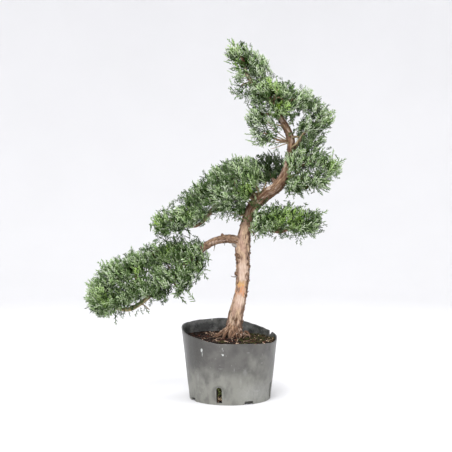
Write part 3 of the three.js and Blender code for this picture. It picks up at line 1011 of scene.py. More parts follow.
PADS: dict[str, Pad] = {
    "apex": Pad(Habit.OPEN, (
        (5, 0, 414, 12, 14, 13.5), (19, 2, 413, 8, 12, 11), (29, 3, 398, 18, 25, 17.5),
        (14, -5, 393, 13, 18, 14),
    )),
    "apex_spray": Pad(Habit.SPARSE, ((12, -4, 371, 14, 13, 15),), gloom=0.7),
    "crown_left": Pad(Habit.FULL, ((41, -5, 366, 23, 26, 18),)),
    "crown_middle": Pad(Habit.FULL, ((62, 9, 361, 17, 26, 17.5), (62, -11, 345, 15, 19, 16))),
    "crown_right": Pad(Habit.OPEN, ((85, 8, 357, 21.5, 26, 16.5), (102, 9, 350, 14, 16, 11))),
    "crown_under": Pad(Habit.OPEN, ((35, -8, 336, 18, 20, 16),)),
    "left_airy": Pad(Habit.AIRY, ((38, -10, 315, 18, 17, 18), (55, -9, 323, 12, 13, 12))),
    "right_high": Pad(Habit.OPEN, (
        (83, 3, 331, 11, 14, 12), (97, 8, 326, 18, 24, 18), (113, 12, 336, 14, 17, 12),
        (100, 9, 311, 16, 20, 14),
    )),
    "right_middle": Pad(Habit.OPEN, (
        (88, 0, 302, 12, 16, 11), (84, -6, 285, 19, 24, 15), (102, -7, 286, 16.5, 24, 15.5),
        (118, -12, 277, 16, 19, 13),
    )),
    "right_hanging": Pad(Habit.OPEN, (
        (92, -13, 262, 19, 23, 14.5), (108, -7, 259, 15, 20, 12.5), (81, -12, 253, 14, 17, 12),
    )),
    "left_upper": Pad(Habit.FULL, ((14, 10, 271, 24, 30, 21), (-10, 11, 262, 21, 29, 18))),
    "left_lower": Pad(Habit.FULL, (
        (16, -9, 246, 19, 24, 18), (-8, -10, 243, 22, 25, 18), (-10, -6, 228.5, 18, 17, 11),
        (12, -7, 226, 12, 15, 11),
    )),
    "left_outer": Pad(Habit.FULL, ((-33, 6, 244, 19, 25, 16), (-44, 6, 234.5, 14, 19, 12.5))),
    "tip_inner": Pad(Habit.FULL, ((-42, -1, 220, 18, 24, 16), (-61, -1, 214.5, 18, 24, 16))),
    "tip_outer": Pad(Habit.OPEN, ((-80, -3, 211, 16, 19, 14.5), (-75, -3, 202, 15, 16, 10.5))),
    "back": Pad(Habit.OPEN, ((49, 38, 280, 19, 24, 20), (47, 27, 266, 13, 16, 12)), gloom=0.75),
    "right_low_inner": Pad(Habit.FULL, (
        (38, -9, 211, 17, 23, 19), (57, -12, 212, 17, 25, 20),
    ), gloom=0.2),
    "right_low_outer": Pad(Habit.OPEN, (
        (78, -12, 213, 19, 25, 19), (92, -10, 207, 18, 22, 16), (100, -9, 214, 13, 14, 11),
    ), gloom=0.2),
    "cascade_high": Pad(Habit.FULL, (
        (-44, -3, 172.5, 16, 22, 16), (-64, 3, 172.5, 21, 26, 17), (-86, 3, 168.5, 18, 24, 17),
        (-36, -4, 184, 7, 10, 7),
    )),
    "cascade_low": Pad(Habit.FULL, (
        (-41, -9, 158.5, 10, 16, 12), (-59, -14, 149, 17.5, 22, 17), (-80, -14, 145, 22, 25, 18),
        (-90, -11, 128, 17, 19, 14),
    )),
    "cascade_hanging": Pad(Habit.AIRY, ((-64, -10, 131, 16, 17, 14),)),
    "outer_high": Pad(Habit.FULL, ((-113, 1, 159, 18, 24, 19), (-138, -1, 148, 20, 25, 19))),
    "outer_low": Pad(Habit.FULL, ((-110, -13, 133, 19, 23, 18), (-131, -14, 119, 18, 22, 16))),
    "outer_tip": Pad(Habit.FULL, ((-155, -7, 127, 19, 25, 19), (-150, -9, 109, 19, 22, 14))),
}


# Single sprays that stand out of the pads, each as its foot and its tip.
EDGE_SPRAYS: tuple[tuple[int, int, int, int, int, int], ...] = (
    (6, -4, 421, 2, -4, 431), (4, -6, 421, -4, -8, 428), (19, 2, 415, 20, 2, 426),
    (29, 2, 412, 34, 2, 416), (39, 4, 406, 40, 4, 413), (40, 0, 402, 46, 0, 405),
    (42, -4, 395, 49, -4, 389), (8, -8, 395, 0, -10, 392), (2, -4, 409, -6, -4, 409),
    (19, -6, 385, 3, -8, 384), (15, -5, 378, 2, -5, 383), (20, -8, 374, 4, -10, 378),
    (14, -5, 371, 4, -7, 374), (17, -6, 368, 4, -8, 368), (15, -4, 366, 3, -6, 363),
    (12, -6, 364, 4, -8, 355), (11, -3, 364, 13, -5, 355), (16, -5, 365, 19, -7, 356),
    (23, -6, 377, 12, -8, 363), (31, -8, 357, 21, -10, 355), (35, -8, 353, 25, -10, 351),
    (86, 2, 367, 92, 2, 374), (74, 6, 371, 76, 6, 379), (98, 4, 354, 106, 4, 359),
    (104, 2, 349, 116, 2, 352), (116, 6, 340, 125, 6, 346), (118, 10, 337, 129, 10, 343),
    (115, 6, 328, 126, 6, 332), (110, 2, 316, 121, 2, 319), (30, -8, 331, 20, -10, 330),
    (28, -4, 335, 18, -4, 339), (36, -10, 319, 24, -12, 319), (38, -6, 312, 25, -8, 310),
    (43, -12, 310, 31, -14, 302), (48, -8, 310, 38, -10, 299), (53, -12, 307, 46, -14, 299),
    (61, -6, 307, 54, -8, 299), (126, -12, 280, 138, -14, 284), (121, -8, 265, 131, -10, 261),
    (110, -14, 259, 121, -16, 253), (108, -4, 253, 119, -4, 248), (106, -12, 250, 118, -14, 243),
    (100, -16, 250, 110, -18, 241), (89, -10, 251, 94, -12, 240), (84, -14, 246, 88, -16, 235),
    (73, -14, 250, 66, -16, 238), (77, -8, 246, 75, -10, 235), (68, -8, 227, 69, -10, 235),
    (89, -6, 226, 91, -8, 234), (97, -4, 216, 98, -4, 225), (103, -8, 218, 116, -10, 223),
    (103, -6, 209, 115, -8, 210), (91, -12, 197, 101, -14, 190), (80, -10, 193, 79, -12, 182),
    (83, -14, 192, 84, -16, 181), (32, -8, 196, 28, -10, 184), (36, -12, 198, 32, -14, 188),
    (-84, -4, 211, -96, -4, 216), (-82, -8, 206, -95, -10, 206), (-78, -2, 204, -89, -2, 199),
    (-78, -4, 221, -81, -4, 231), (-70, 2, 224, -73, 2, 234), (-50, 2, 238, -59, 2, 246),
    (-41, 2, 248, -45, 2, 260), (-19, 4, 270, -23, 4, 282), (5, 6, 281, 3, 6, 293),
    (22, 8, 281, 23, 8, 292), (-13, -10, 221, -20, -12, 212), (-7, -12, 221, -10, -14, 210),
    (1, -8, 220, -4, -10, 209), (10, -12, 220, 4, -14, 209), (13, -8, 216, 8, -10, 209),
    (-150, -4, 152, -158, -4, 163), (-145, 2, 154, -149, 2, 165), (-151, -6, 146, -161, -8, 154),
    (-160, -6, 131, -171, -8, 135), (-162, -10, 120, -174, -12, 121), (-157, -8, 112, -168, -10, 109),
    (-155, -6, 108, -165, -8, 101), (-149, -12, 106, -155, -14, 96), (-142, -8, 104, -145, -10, 94),
    (-136, -12, 101, -135, -14, 88), (-125, -10, 103, -128, -12, 94), (-109, -8, 107, -113, -10, 95),
    (-107, -12, 109, -103, -14, 100), (-96, -12, 122, -92, -14, 112), (-73, -10, 126, -76, -12, 115),
    (-65, -8, 128, -53, -10, 113), (-60, -12, 132, -47, -14, 126), (-55, -8, 137, -44, -10, 137),
    (-36, -12, 151, -37, -14, 140), (-35, -8, 155, -27, -10, 141), (-32, -10, 154, -22, -12, 151),
    (-31, -6, 167, -22, -8, 164), (-118, 2, 169, -118, 2, 181), (-95, 2, 178, -98, 2, 188),
    (-71, 6, 185, -73, 6, 193), (-48, 4, 188, -49, 4, 199), (38, -8, 222, 37, -9, 231),
    (44, -8, 222, 45, -9, 230), (33, -9, 219, 32, -10, 227), (33, -8, 204, 27, -10, 193),
    (37, -8, 202, 33, -11, 190), (-128, -8, 106, -130, -10, 96), (-121, -8, 106, -119, -10, 97),
    (116, 6, 338, 129, 6, 345), (9, -9, 222, 2, -11, 213), (14, -8, 221, 11, -10, 212),
    (52, -10, 322, 42, -12, 331), (48, -9, 312, 38, -11, 316), (56, -9, 304, 45, -10, 300),
    (50, -10, 309, 38, -12, 308), (58, -8, 298, 50, -10, 292), (46, -9, 326, 34, -11, 332),
    (-104, -7, 112, -96, -9, 101), (48, -12, 316, 38, -14, 304), (56, -11, 312, 44, -13, 305),
    (50, -10, 318, 40, -12, 318), (83, -15, 270, 70, -17, 264), (81, -15, 263, 67, -18, 257),
    (79, -16, 256, 65, -18, 250), (76, -15, 251, 63, -17, 243), (82, -15, 276, 71, -17, 273),
    (77, -15, 259, 67, -18, 264), (74, -15, 266, 66, -18, 270), (78, -14, 253, 70, -16, 243),
)


class Surface:
    """The soft outer surface of all the pads' lumps, which closes the small gaps between them."""

    UNEVEN = 0.35
    SEARCH = (0.7, 1.5, 0.03)

    def __init__(self, lumps: Sequence[Lump]) -> None:
        """Takes the lumps.

        Args:
            lumps: The lumps of all the pads.
        """
        table = np.array(lumps, float)
        self.middles = table[:, :3]
        self.reaches = table[:, 3:]

    def shares(self, places: np.ndarray) -> np.ndarray:
        """Returns for each place and lump how far out it is, where 1 is at the lump's reach."""
        steps = (places[:, None, :] - self.middles[None]) / self.reaches[None]
        return np.sqrt((steps**2).sum(-1))

    def strength(self, places: np.ndarray, softness: float = 1.0) -> np.ndarray:
        """Returns for each place a value that is over 1 inside the growth.

        Args:
            places: The places.
            softness: How sharply each lump ends. With a low value, neighbouring lumps run together.

        Returns:
            The values.
        """
        return np.exp(-softness * (self.shares(places) ** 2 - 1)).sum(-1)

    def outward(self, places: np.ndarray) -> np.ndarray:
        """Gives for each place the direction that leads out of the growth.

        Args:
            places: The places.

        Returns:
            The directions, each of length 1.
        """
        steps = (places[:, None, :] - self.middles[None]) / self.reaches[None] ** 2
        pull = np.exp(1 - self.shares(places) ** 2)
        ways = (steps * pull[..., None]).sum(1)
        return ways / np.linalg.norm(ways, axis=1, keepdims=True)

    def spots(self, number: int, spacing: float, rng: np.random.Generator, softness: float) -> np.ndarray:
        """Spreads places over the part of the surface that is nearest to one lump.

        Args:
            number: The lump's number.
            spacing: The usual distance between places, in millimetres.
            rng: The random draws.
            softness: How sharply each lump ends.

        Returns:
            The places.
        """
        reach = self.reaches[number]
        power = 1.6
        products = (reach[0] * reach[1], reach[0] * reach[2], reach[1] * reach[2])
        area = 4 * math.pi * (sum(product**power for product in products) / 3) ** (1 / power)
        count = int(area / spacing**2)
        index = np.arange(count) + 0.5
        up = 1 - 2 * index / count
        around = index * math.pi * (1 + 5**0.5) + rng.uniform(0, TURN)
        flat = np.sqrt(1 - up**2)
        ways = np.stack([flat * np.cos(around), flat * np.sin(around), up], 1)
        ways += rng.normal(0, self.UNEVEN * spacing / reach.mean(), ways.shape)
        ways /= np.linalg.norm(ways, axis=1, keepdims=True)
        found = np.full(count, np.nan)
        for step in np.arange(*self.SEARCH):
            places = self.middles[number] + ways * reach * step
            left = (self.strength(places, softness) < 1) & np.isnan(found)
            found[left] = step
        kept = ~np.isnan(found)
        places = self.middles[number] + ways[kept] * reach * found[kept, None]
        own = self.shares(places).argmin(1) == number
        return places[own]


@dataclass(frozen=True)
class Layer:
    """One layer of sprays over a lump: how close, deep, uneven and large it is, how much painted shade
    darkens it, and how plain.
    """

    spacing: float
    depth: float
    ragged: float
    softness: float
    size: float
    gloom: float
    plain: bool


@dataclass
class LeafyPads:
    """All the leafy growth: for each pad a dark inner form of painted shade, and over it fans of cord-like
    shoots.
    """

    prefix: str = "foliage_"
    variants: int = 10
    slim_variants: int = 5
    plain_variants: int = 6
    slim_share: float = 0.3
    slim_height: float = 2.5
    # slim_shade, rim_shade and rim_gloom are painted shade on slim sprays and on sprays at a pad's outline.
    slim_shade: float = 0.08
    tone: float = 0.61
    rim_shade: float = 0.22
    rim_gloom: float = 0.34
    seed: int = 7
    layers: tuple[Layer, ...] = (
        Layer(spacing=5.35, depth=3.0, ragged=6.0, softness=2.2, size=0.95, gloom=0.0, plain=False),
        Layer(spacing=6.8, depth=7.5, ragged=4.0, softness=1.3, size=1.0, gloom=0.6, plain=True),
    )
    # The inner growth, which painted shade makes dim: its spacing, and where in a lump it may stand.
    filling: float = 8.2
    filled_from: float = 1.55
    filled_reach: float = 1.3
    filled_softness: float = 0.7
    inner_height: float = 0.3
    # How far a spray points outwards, upwards and away from the trunk, and how unevenly.
    lift: float = 0.45
    under_lift: float = 0.8
    rise: float = 0.75
    away: float = 0.4
    scatter: float = 0.3
    twist: float = 0.45
    edge_twist: float = 0.4
    lump_size: float = 9.0
    uneven: float = 2.5
    sizes: tuple[float, float] = (0.72, 1.08)
    inner_sizes: tuple[float, float] = (0.55, 0.8)
    # Painted shade on the low pads: how much, and the heights over which it comes in.
    low_shade: float = 0.1
    low_pads: tuple[float, float] = (225.0, 185.0)
    # Places along a spray, in millimetres, where the room that it has is looked at.
    wood_steps: tuple[float, ...] = (4.0, 8.0, 12.0)
    inner_steps: tuple[float, ...] = (3.0, 7.0, 11.0)
    gap_steps: tuple[float, ...] = (5.0, 12.0)
    window_step: float = 7.0
    fresh_step: float = 10.0
    wood_room: float = 0.9
    # A solid's corner whose three angles add up to less than this, in radians, is a spray's point.
    sharpest: float = 3.6
    tallest: float = 1.2
    window_depth: float = 8.0
    window_share: float = 0.92
    # Edge sprays that point lower than this slope get more painted shade.
    hanging: float = -0.3
    # Ovals in the front view in which stems show, and smaller ones in which the wall shows.
    windows: tuple[Oval, ...] = (
        (17, 396, 5, 11), (50, 359, 11, 8), (61, 330, 8, 8), (66, 320, 8, 8), (71, 311, 8, 8),
        (73, 303, 7, 8), (61, 270, 5.5, 6), (57, 262, 7, 7), (20, 218, 9, 11), (25, 230, 9, 8),
        (32, 239, 11, 9), (42, 247, 10, 7), (52, 254, 8, 7), (61, 198, 8, 6), (-22, 227, 8, 7),
        (-41, 205, 6, 5), (-70, 212, 4, 4), (-72, 155, 4, 6), (-120, 108, 12, 5), (-28, 178, 5, 5),
        (4, 214, 15, 6.5),
    )
    gaps: tuple[Oval, ...] = (
        (-50, 195, 9, 2.2), (-70, 194, 8, 1.8), (79.5, 328, 2.6, 10), (79, 309, 2.4, 2.2),
        (48.8, 275, 3, 3), (56, 268.5, 2.6, 2.2), (40, 283, 2.2, 1.6), (52, 286, 2, 1.4),
        (44, 268, 2, 1.6), (88.5, 338, 5, 2.2), (102, 274, 2, 1.6), (106, 270, 1.8, 1.6),
        (90, 252, 2, 1.8), (80.5, 249, 2, 2), (97, 263, 1.8, 1.5), (111, 263, 2, 1.6), (94, 256, 2.4, 2),
        (113, 273.5, 2.2, 1.8), (-40, 166, 2.4, 2), (76, 349, 2.2, 1.8), (-95, 120.5, 5, 3.4),
        (-70, 128, 3, 2.4), (-74, 201.5, 2.2, 1.8), (-66, 205, 1.8, 1.8), (34, 357, 2, 1.6),
        (103, 320.5, 2.4, 1.6), (109, 296, 2, 1.6), (90, 291, 1.8, 1.6), (31, 203, 2, 2),
        (66, 205.5, 1.8, 1.4),
    )
    # Where young growth is: how far right and up, and its reach.
    fresh_spots: tuple[Point, ...] = (
        (62, 346, 11), (-108, 153, 9), (18, 250, 10), (-78, 178, 8), (0, 424, 9), (-90, 213, 8),
        (115, 222, 7), (120, 279, 7), (125, 343, 9), (50, 372, 9), (30, 262, 8), (-150, 125, 9),
        (8, 400, 7), (78, 218, 13), (58, 214, 8), (20, 240, 8), (44, 377, 9), (60, 352, 8), (-52, 222, 7),
    )

    def build(self, tree: ScatterTree, leaf: Material, inner: Material) -> None:
        """Makes a piece for each pad.

        Args:
            tree: The tree that repeats the sprigs.
            leaf: The finish of the shoots.
            inner: The finish of the inner forms.
        """
        wood = self.wood_tree()
        drafts = [Sprig(seed=100 + i).draft() for i in range(self.variants)]
        drafts += [
            Sprig(seed=200 + i, shoots=5, angle=0.72, reach=0.32).draft() for i in range(self.slim_variants)
        ]
        drafts += [
            Sprig(seed=300 + i, thickness=1.4, plain=True).draft() for i in range(self.plain_variants)
        ]
        shapes = ShapeSet("sprig", drafts)
        surface = Surface([lump for pad in PADS.values() for lump in pad.lumps])
        first = 0
        for number, (name, pad) in enumerate(PADS.items()):
            rng = np.random.default_rng(self.seed + number)
            carriers = Carriers()
            for lump in range(first, first + len(pad.lumps)):
                self.cover(surface, lump, pad, wood, carriers, rng)
                if pad.habit.core:
                    self.fill(surface, lump, pad, wood, carriers, rng)
                self.edge(surface, lump, carriers, rng)
            first += len(pad.lumps)
            core = self.inner_form(name, pad.habit.core, inner)
            mesh = tree.grow(
                "leaves_" + name, carriers.mesh(name + "_points"), Shapes=shapes.collection, Shape_size=1.0,
                Size_spread=0.12, Seed=self.seed + number, Finish=leaf, Inner_form=core,
            )
            bpy.data.objects.remove(core)
            dress(place_in_scene("leaves_" + name, mesh), "foliage", self.prefix + name)
        shapes.clear()

    def wood_tree(self) -> BVHTree:
        """Returns the CAD wood for asking how near it is."""
        mesh = frame["nodes"]["trunk_and_branches"].data
        return BVHTree.FromPolygons(
            [vertex.co / MM for vertex in mesh.vertices], [tuple(face.vertices) for face in mesh.polygons]
        )

    def inner_form(self, name: str, share: float, finish: Material) -> bpy.types.Object:
        """Makes the dark form inside a pad, which is painted shade: its CAD solid, with the pointed sprays
        drawn in.

        Args:
            name: The pad's name.
            share: How large it is beside the solid, or 0 for a form with nothing in it.
            finish: The form's material.

        Returns:
            The form, as an object.
        """
        form = bmesh.new()
        form.from_mesh(frame["nodes"][self.prefix + name].data)
        bmesh.ops.remove_doubles(form, verts=form.verts, dist=2e-6)
        bmesh.ops.scale(form, vec=(1 / MM,) * 3, verts=form.verts)
        form.normal_update()
        moved = {}
        for point in form.verts:
            if len(point.link_edges) != 3:
                continue
            down = [edge.other_vert(point).co - point.co for edge in point.link_edges]
            around = sum(down[i].angle(down[(i + 1) % 3]) for i in range(3))
            axis = -sum((way.normalized() for way in down), Vector())
            if around < self.sharpest and axis.length > self.tallest and axis.dot(point.normal) > 0:
                axis.normalize()
                length = max(-way.dot(axis) for way in down)
                moved[point] = point.co - axis * length * (1 - self.inner_height)
        for point, place in moved.items():
            point.co = place
        centre = sum((v.co for v in form.verts), Vector()) / len(form.verts)
        for point in form.verts:
            point.co = centre.lerp(point.co, share)
        if not share:
            form.clear()
        form.verts.index_update()
        draft = MeshDraft()
        faces = [tuple(v.index for v in face.verts) for face in form.faces]
        draft.add([tuple(v.co) for v in form.verts], faces, along=[0.0] * len(form.verts))
        form.free()
        return draft.piece(name + "_inner", finish)

    def fresh_at(self, place: Vector, rng: np.random.Generator) -> float:
        """Gives the young growth.

        Args:
            place: A place.
            rng: The random draws.

        Returns:
            How yellow-green the growth is there, from 0 to 1.
        """
        near = max(
            math.exp(-((place.x - x) ** 2 + (place.z - z) ** 2) / reach**2)
            for x, z, reach in self.fresh_spots
        )
        return min(1.0, near * rng.uniform(0.35, 1.0) + 0.2 * rng.uniform() ** 4)

    def trunk_x(self, z: float) -> float:
        """Returns how far right the trunk stands at a height, roughly."""
        return 15 + 45 * ease(210, 300, z) - 20 * ease(340, 400, z)

    def cover(
        self, surface: Surface, lump: int, pad: Pad, wood: BVHTree, carriers: Carriers,
        rng: np.random.Generator,
    ) -> None:
        """Covers a lump with layers of sprays, the outermost first.

        Args:
            surface: The surface of all the lumps.
            lump: The lump's number.
            pad: The pad that the lump belongs to.
            wood: The wood, from which sprays keep clear.
            carriers: The points that get the sprays.
            rng: The random draws.
        """
        thin = 1 / math.sqrt(pad.habit.value)
        middle = surface.middles[lump]
        away = Vector((math.copysign(self.away, middle[0] - self.trunk_x(middle[2])), 0, 0))
        low_shade = self.low_shade * ease(*self.low_pads, middle[2])
        for layer in self.layers:
            places = surface.spots(lump, layer.spacing * thin, rng, layer.softness)
            for place, out in zip(places, surface.outward(places)):
                normal = Vector(out)
                under = max(0.0, -normal.z)
                heading = normal * (self.lift + self.under_lift * under) + away
                heading += Vector((0, 0, self.rise * (1 - under)))
                heading += Vector(rng.normal(0, self.scatter, 3))
                heading.normalize()
                ragged = noise.noise(Vector(place) / self.lump_size) * layer.ragged
                depth = layer.depth + ragged + rng.uniform(-self.uneven, self.uneven)
                shape = self.plain_shape(rng) if layer.plain else int(rng.integers(self.variants))
                rim = (1 - abs(normal.y)) ** 3
                # Painted shade in the tone: sprays at a pad's outline and on the low pads, and slim ones,
                # are darker.
                tint = rng.normal(self.tone, 0.1) - self.rim_shade * rim - low_shade
                if not layer.plain and (pad.habit is Habit.SPARSE or rng.uniform() < self.slim_share):
                    shape = self.slim_shape(rng)
                    depth -= self.slim_height
                    tint -= self.slim_shade
                size = rng.uniform(*self.sizes) * layer.size
                start = Vector(place) - normal * depth - heading * Sprig.length * size
                if self.near_wood(wood, start, heading, self.wood_steps):
                    continue
                if self.in_window(start + heading * self.window_step * size, rng):
                    continue
                if any(self.in_gap(start + heading * step * size) for step in self.gap_steps):
                    continue
                across = normal.cross(heading) + Vector(rng.normal(0, self.twist, 3))
                # The value depth is painted shade: it falls the deeper a spray lies, in a dim layer or pad,
                # and at a pad's outline.
                buried = surface.strength(np.array([place - out * depth]))[0]
                light = float(np.clip(1.5 - 0.35 * buried - layer.gloom - pad.gloom, 0, 1))
                carriers.add(
                    start, heading, across, size, shape,
                    tint=float(np.clip(tint, 0, 1)),
                    fresh=self.fresh_at(start + heading * self.fresh_step, rng),
                    depth=max(0.0, light - self.rim_gloom * rim),
                )

    def slim_shape(self, rng: np.random.Generator) -> int:
        """Returns the number of one of the slim sprays."""
        return self.variants + int(rng.integers(self.slim_variants))

    def plain_shape(self, rng: np.random.Generator) -> int:
        """Returns the number of one of the plain sprays."""
        return self.variants + self.slim_variants + int(rng.integers(self.plain_variants))

    def near_wood(self, wood: BVHTree, start: Vector, heading: Vector, steps: Sequence[float]) -> bool:
        """Returns whether a spray passes too near the wood at some steps along it."""
        return min(wood.find_nearest(start + heading * step)[3] for step in steps) < self.wood_room

    def in_gap(self, place: Vector) -> bool:
        """Returns whether a place is in one of the gaps through which the wall shows from the front."""
        spot = seen(place)
        return any(in_oval(spot, gap) for gap in self.gaps)

    def in_window(self, place: Vector, rng: np.random.Generator) -> bool:
        """Tells whether a spray would hide a stem that shows from the front.

        Args:
            place: A place on the spray.
            rng: The random draws.

        Returns:
            True for nearly every spray in a window, and False elsewhere.
        """
        if place.y > self.window_depth:
            return False
        spot = seen(place)
        return any(in_oval(spot, window) for window in self.windows) and rng.uniform() < self.window_share

    def edge(self, surface: Surface, lump: int, carriers: Carriers, rng: np.random.Generator) -> None:
        """Adds the single sprays whose feet are nearest to a lump.

        Args:
            surface: The surface of all the lumps.
            lump: The lump's number.
            carriers: The points that get the sprays.
            rng: The random draws.
        """
        for row in EDGE_SPRAYS:
            foot, tip = Vector(row[:3]), Vector(row[3:])
            if surface.shares(np.array([foot]))[0].argmin() != lump:
                continue
            heading = (tip - foot).normalized()
            size = (tip - foot).length / Sprig.length
            across = Vector((heading.z, 0, -heading.x)) + Vector(rng.normal(0, self.edge_twist, 3))
            # Painted shade: these sprays get a low tone and depth, and hanging ones a lower depth still.
            carriers.add(
                foot, heading, across, size, self.slim_shape(rng),
                tint=float(rng.uniform(0.0, 0.3)),
                fresh=0.35 * self.fresh_at(tip, rng),
                depth=0.6 if heading.z > self.hanging else 0.4,
            )

    def fill(
        self, surface: Surface, lump: int, pad: Pad, wood: BVHTree, carriers: Carriers,
        rng: np.random.Generator,
    ) -> None:
        """Fills the inside of a lump, and the gaps beside it, with growth that painted shade makes dark.

        Args:
            surface: The surface of all the lumps.
            lump: The lump's number.
            pad: The pad that the lump belongs to.
            wood: The wood, from which sprays keep clear.
            carriers: The points that get the sprays.
            rng: The random draws.
        """
        reach = surface.reaches[lump] * self.filled_reach
        spacing = self.filling / pad.habit.value
        rows = [np.arange(-r, r, spacing) for r in reach]
        grid = np.stack(np.meshgrid(*rows, indexing="ij"), -1).reshape(-1, 3)
        places = surface.middles[lump] + grid + rng.uniform(-0.5, 0.5, grid.shape) * spacing
        inside = surface.strength(places, self.filled_softness) > self.filled_from
        own = surface.shares(places).argmin(1) == lump
        for place in places[inside & own]:
            heading = Vector(rng.normal(0, 1, 3) + (0, 0, 0.3)).normalized()
            size = rng.uniform(*self.inner_sizes)
            start = Vector(place) - heading * Sprig.length * size * 0.5
            near = self.near_wood(wood, start, heading, self.inner_steps)
            if near or self.in_gap(Vector(place)):
                continue
            side = Vector(rng.normal(0, 1, 3))
            # Painted shade: the inner growth gets a low tone and a low depth.
            carriers.add(
                start, heading, side, size, self.plain_shape(rng),
                tint=float(rng.uniform(0.1, 0.5)), fresh=0.0, depth=float(rng.uniform(0.05, 0.4)),
            )


@dataclass(frozen=True)
class PotForm:
    """The pot's sizes, shared by what is in it."""

    base_radius: float = 48.2
    top_radius: float = 57.4
    top: float = 80.0
    wall: float = 1.5
    floor: float = 2.2
    out_of_round: float = 0.6
    rim_mean: float = 78.7
    rise_left: float = 7.0
    rise_back: float = 8.5
    ripple: float = 0.5
    first_drain: float = -105.0
    drains: int = 4
    # Where the hand cut leaves its even slant: bearings in degrees, and how much higher the rim is.
    strays: tuple[tuple[float, float], ...] = (
        (-180, 0), (-152, -1.9), (-125, -1.4), (-109, -0.9), (-90, 1.1), (-72, 2.2), (-47, 1.9), (-13, 0),
        (70, 0), (98, 0.8), (130, -1.3), (147, -2.3), (180, 0),
    )

    def radius(self, angle: float, z: float) -> float:
        """Gives the even form of the outside.

        Args:
            angle: A bearing.
            z: A height.

        Returns:
            The radius there.
        """
        share = z / self.top
        even = self.base_radius + (self.top_radius - self.base_radius) * share
        return even + self.out_of_round * share * math.sin(2 * angle + 0.6)

    def rim(self, angle: float) -> float:
        """Gives the slanting rim.

        Args:
            angle: A bearing.

        Returns:
            The rim's height there.
        """
        slant = self.rise_back * math.sin(angle) - self.rise_left * math.cos(angle)
        bearing = math.degrees(math.remainder(angle, TURN))
        stray = 0.0
        for (low, first), (high, second) in zip(self.strays, self.strays[1:]):
            if low <= bearing <= high:
                stray = first + (second - first) * ease(low, high, bearing)
        return self.rim_mean + slant + stray + self.ripple * math.sin(5 * angle + 1)

    def drain_bearing(self, number: float) -> float:
        """Returns the bearing of a drain slot by its number, in degrees."""
        return self.first_drain + 360 / self.drains * number


